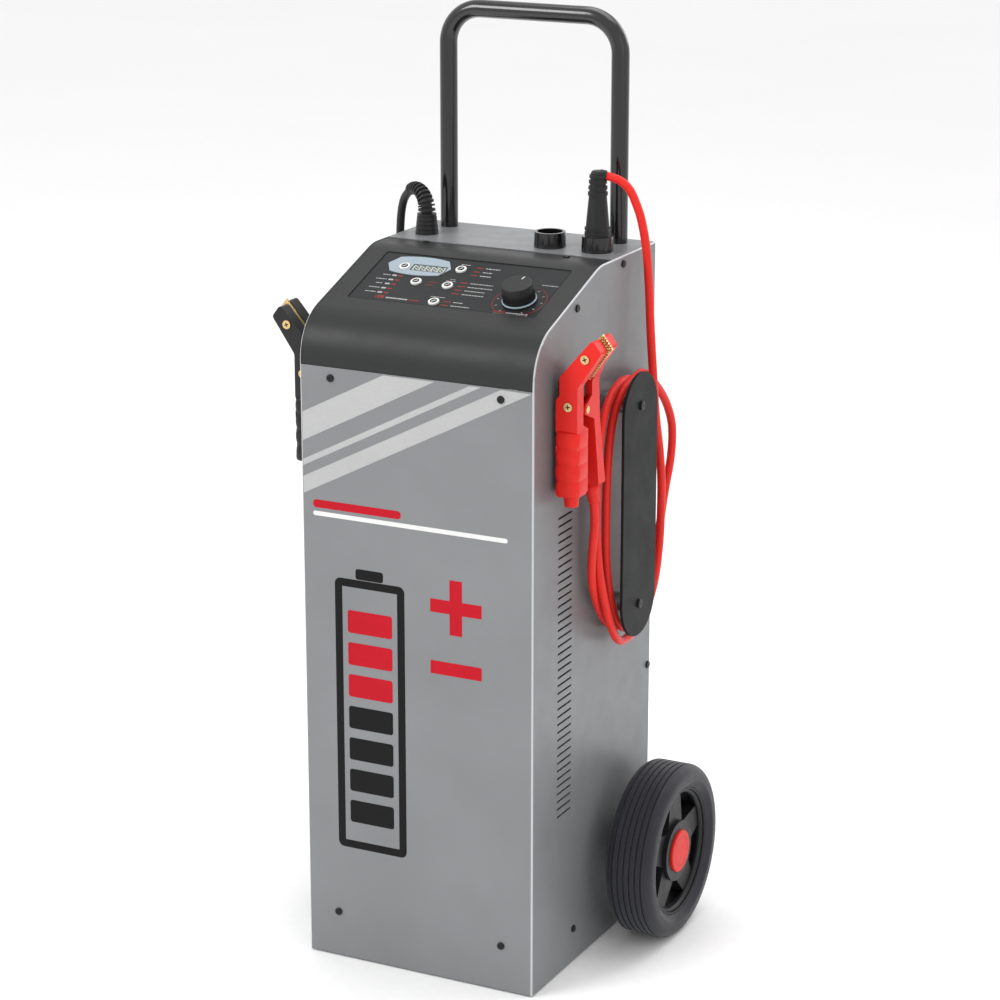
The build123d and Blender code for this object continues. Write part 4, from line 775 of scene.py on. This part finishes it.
def grip_sleeve(name, side, look, body):
    """A sleeve whose outline swells between ribs, flat where it meets the rear lever."""
    verts, faces = [], []
    rows = round((SLEEVE_HIGH - SLEEVE_LOW) / SLEEVE_STEP)
    for row in range(rows + 1):
        z = SLEEVE_LOW + (SLEEVE_HIGH - SLEEVE_LOW) * row / rows
        swell = SLEEVE_SWELL * abs(math.sin(math.pi * (z - SLEEVE_LOW) / SLEEVE_RIB)) ** 0.6
        if row in (0, rows):
            swell = -0.2
        for x, y in round_points(0, 0, SLEEVE_W + swell, SLEEVE_D + swell, 6.5):
            place = (side * (SLEEVE_AT[0] + x), SLEEVE_AT[1] + min(y, SLEEVE_FLAT), z)
            verts.append(Vector(place) * MM)
    n = len(verts) // (rows + 1)
    for row in range(rows):
        for i in range(n):
            j = (i + 1) % n
            face = [row * n + i, row * n + j, row * n + n + j, row * n + n + i]
            faces.append(face if side > 0 else face[::-1])
    ends = [list(reversed(range(n))), [rows * n + i for i in range(n)]]
    faces += ends if side > 0 else [end[::-1] for end in ends]
    new_mesh(name, verts, faces, look, body, smooth=True)


TAIL_TOP, TAIL_NEXT = (158.0, -61.5, 565.0), (160.0, -56.5, 531.0)
for colour, side, look in (("red", 1, RED), ("black", -1, BLACK)):
    grip_sleeve(f"{colour}_grip_sleeve", side, look, f"{colour}_jaw")
    top, below = (Vector((side * x, y, z)) for x, y, z in (TAIL_TOP, TAIL_NEXT))
    revolved(
        f"{colour}_tail_boot", [(8.2, 0), (8.2, 9), (7.4, 10), (6.4, 22), (5.6, 24), (4.85, 24), (4.85, 0)],
        top, below - top, look, "charger", steps=32,
    )


# ---- Screw recesses: a black cross painted in each head as the shade inside its recess ----
def paint_recess_shade(name, spots, look, body="charger", size=3.4):
    """A black cross in each screw's head, painted shade of its recess, every one turned differently."""
    verts, faces = [], []
    for origin, facing in spots:
        z = Vector(facing)
        x = Vector((0, 0, 1)) if abs(z.z) < 0.9 else Vector((1, 0, 0))
        y = z.cross(x)
        turn = math.radians(20 + 37 * len(verts) % 90)
        x, y = x * math.cos(turn) + y * math.sin(turn), y * math.cos(turn) - x * math.sin(turn)
        plate = Plate(Vector(origin), x, y, 0.04)
        plate.plus(0, 0, size, size * 0.24)
        faces += [[i + len(verts) for i in f] for f in plate.faces]
        verts += plate.verts
    new_mesh(name, verts, faces, look, body)


spots = [((x, FRONT_Y - 2.2, z), (0, -1, 0)) for x in (-102.0, 102.0) for z in (54.7, 672.9)]
for side in (-1, 1):
    for y, z in ((-63.0, 753.0), (53.0, 779.0), (133.0, 293.0), (-62.0, 41.0)):
        spots.append(((side * 142.2, y, z), (side, 0, 0)))
    spots.append(((side * 86, 23.0, 788.7), (0, 0, 1)))
paint_recess_shade("screw_recess_shade", spots, BLACK_INK_AND_SHADE)
PLATE_SCREW_X, PLATE_SCREW_Y, PLATE_SCREW_Z = 180.61, 22.0, (406.0, 632.0)
plate_spots = []
for name, side in (("left", -1), ("right", 1)):
    heads = Plate((side * PLATE_SCREW_X, 0, 0), (0, side, 0), (0, 0, 1), 0.05)
    for z in PLATE_SCREW_Z:
        heads.disc(side * PLATE_SCREW_Y, z, 4.0)
        plate_spots.append(((side * (PLATE_SCREW_X + 0.07), PLATE_SCREW_Y, z), (side, 0, 0)))
    heads.make(f"plate_screw_heads_{name}", SCREW, "screw")
paint_recess_shade("plate_screw_recess_shade", plate_spots, BLACK_INK_AND_SHADE, size=4.6)
for colour, side in (("red", 1), ("black", -1)):
    marks = [((side * x, -126.6, z), (0, -1, 0)) for x, z in ((179, 715), (160, 662))]
    paint_recess_shade(f"{colour}_jaw_screw_slot_shade", marks, BLACK_INK_AND_SHADE, f"{colour}_jaw", 5.2)

# ---- Stage ----
FLOOR_HALF = 30
corners = [(x * FLOOR_HALF, y * FLOOR_HALF, 0) for x, y in ((-1, -1), (1, -1), (1, 1), (-1, 1))]
mesh = bpy.data.meshes.new("floor")
mesh.from_pydata(corners, [], [(0, 1, 2, 3)])
mesh.materials.append(FLOOR)
floor = bpy.data.objects.new("floor", mesh)
scene.collection.objects.link(floor)
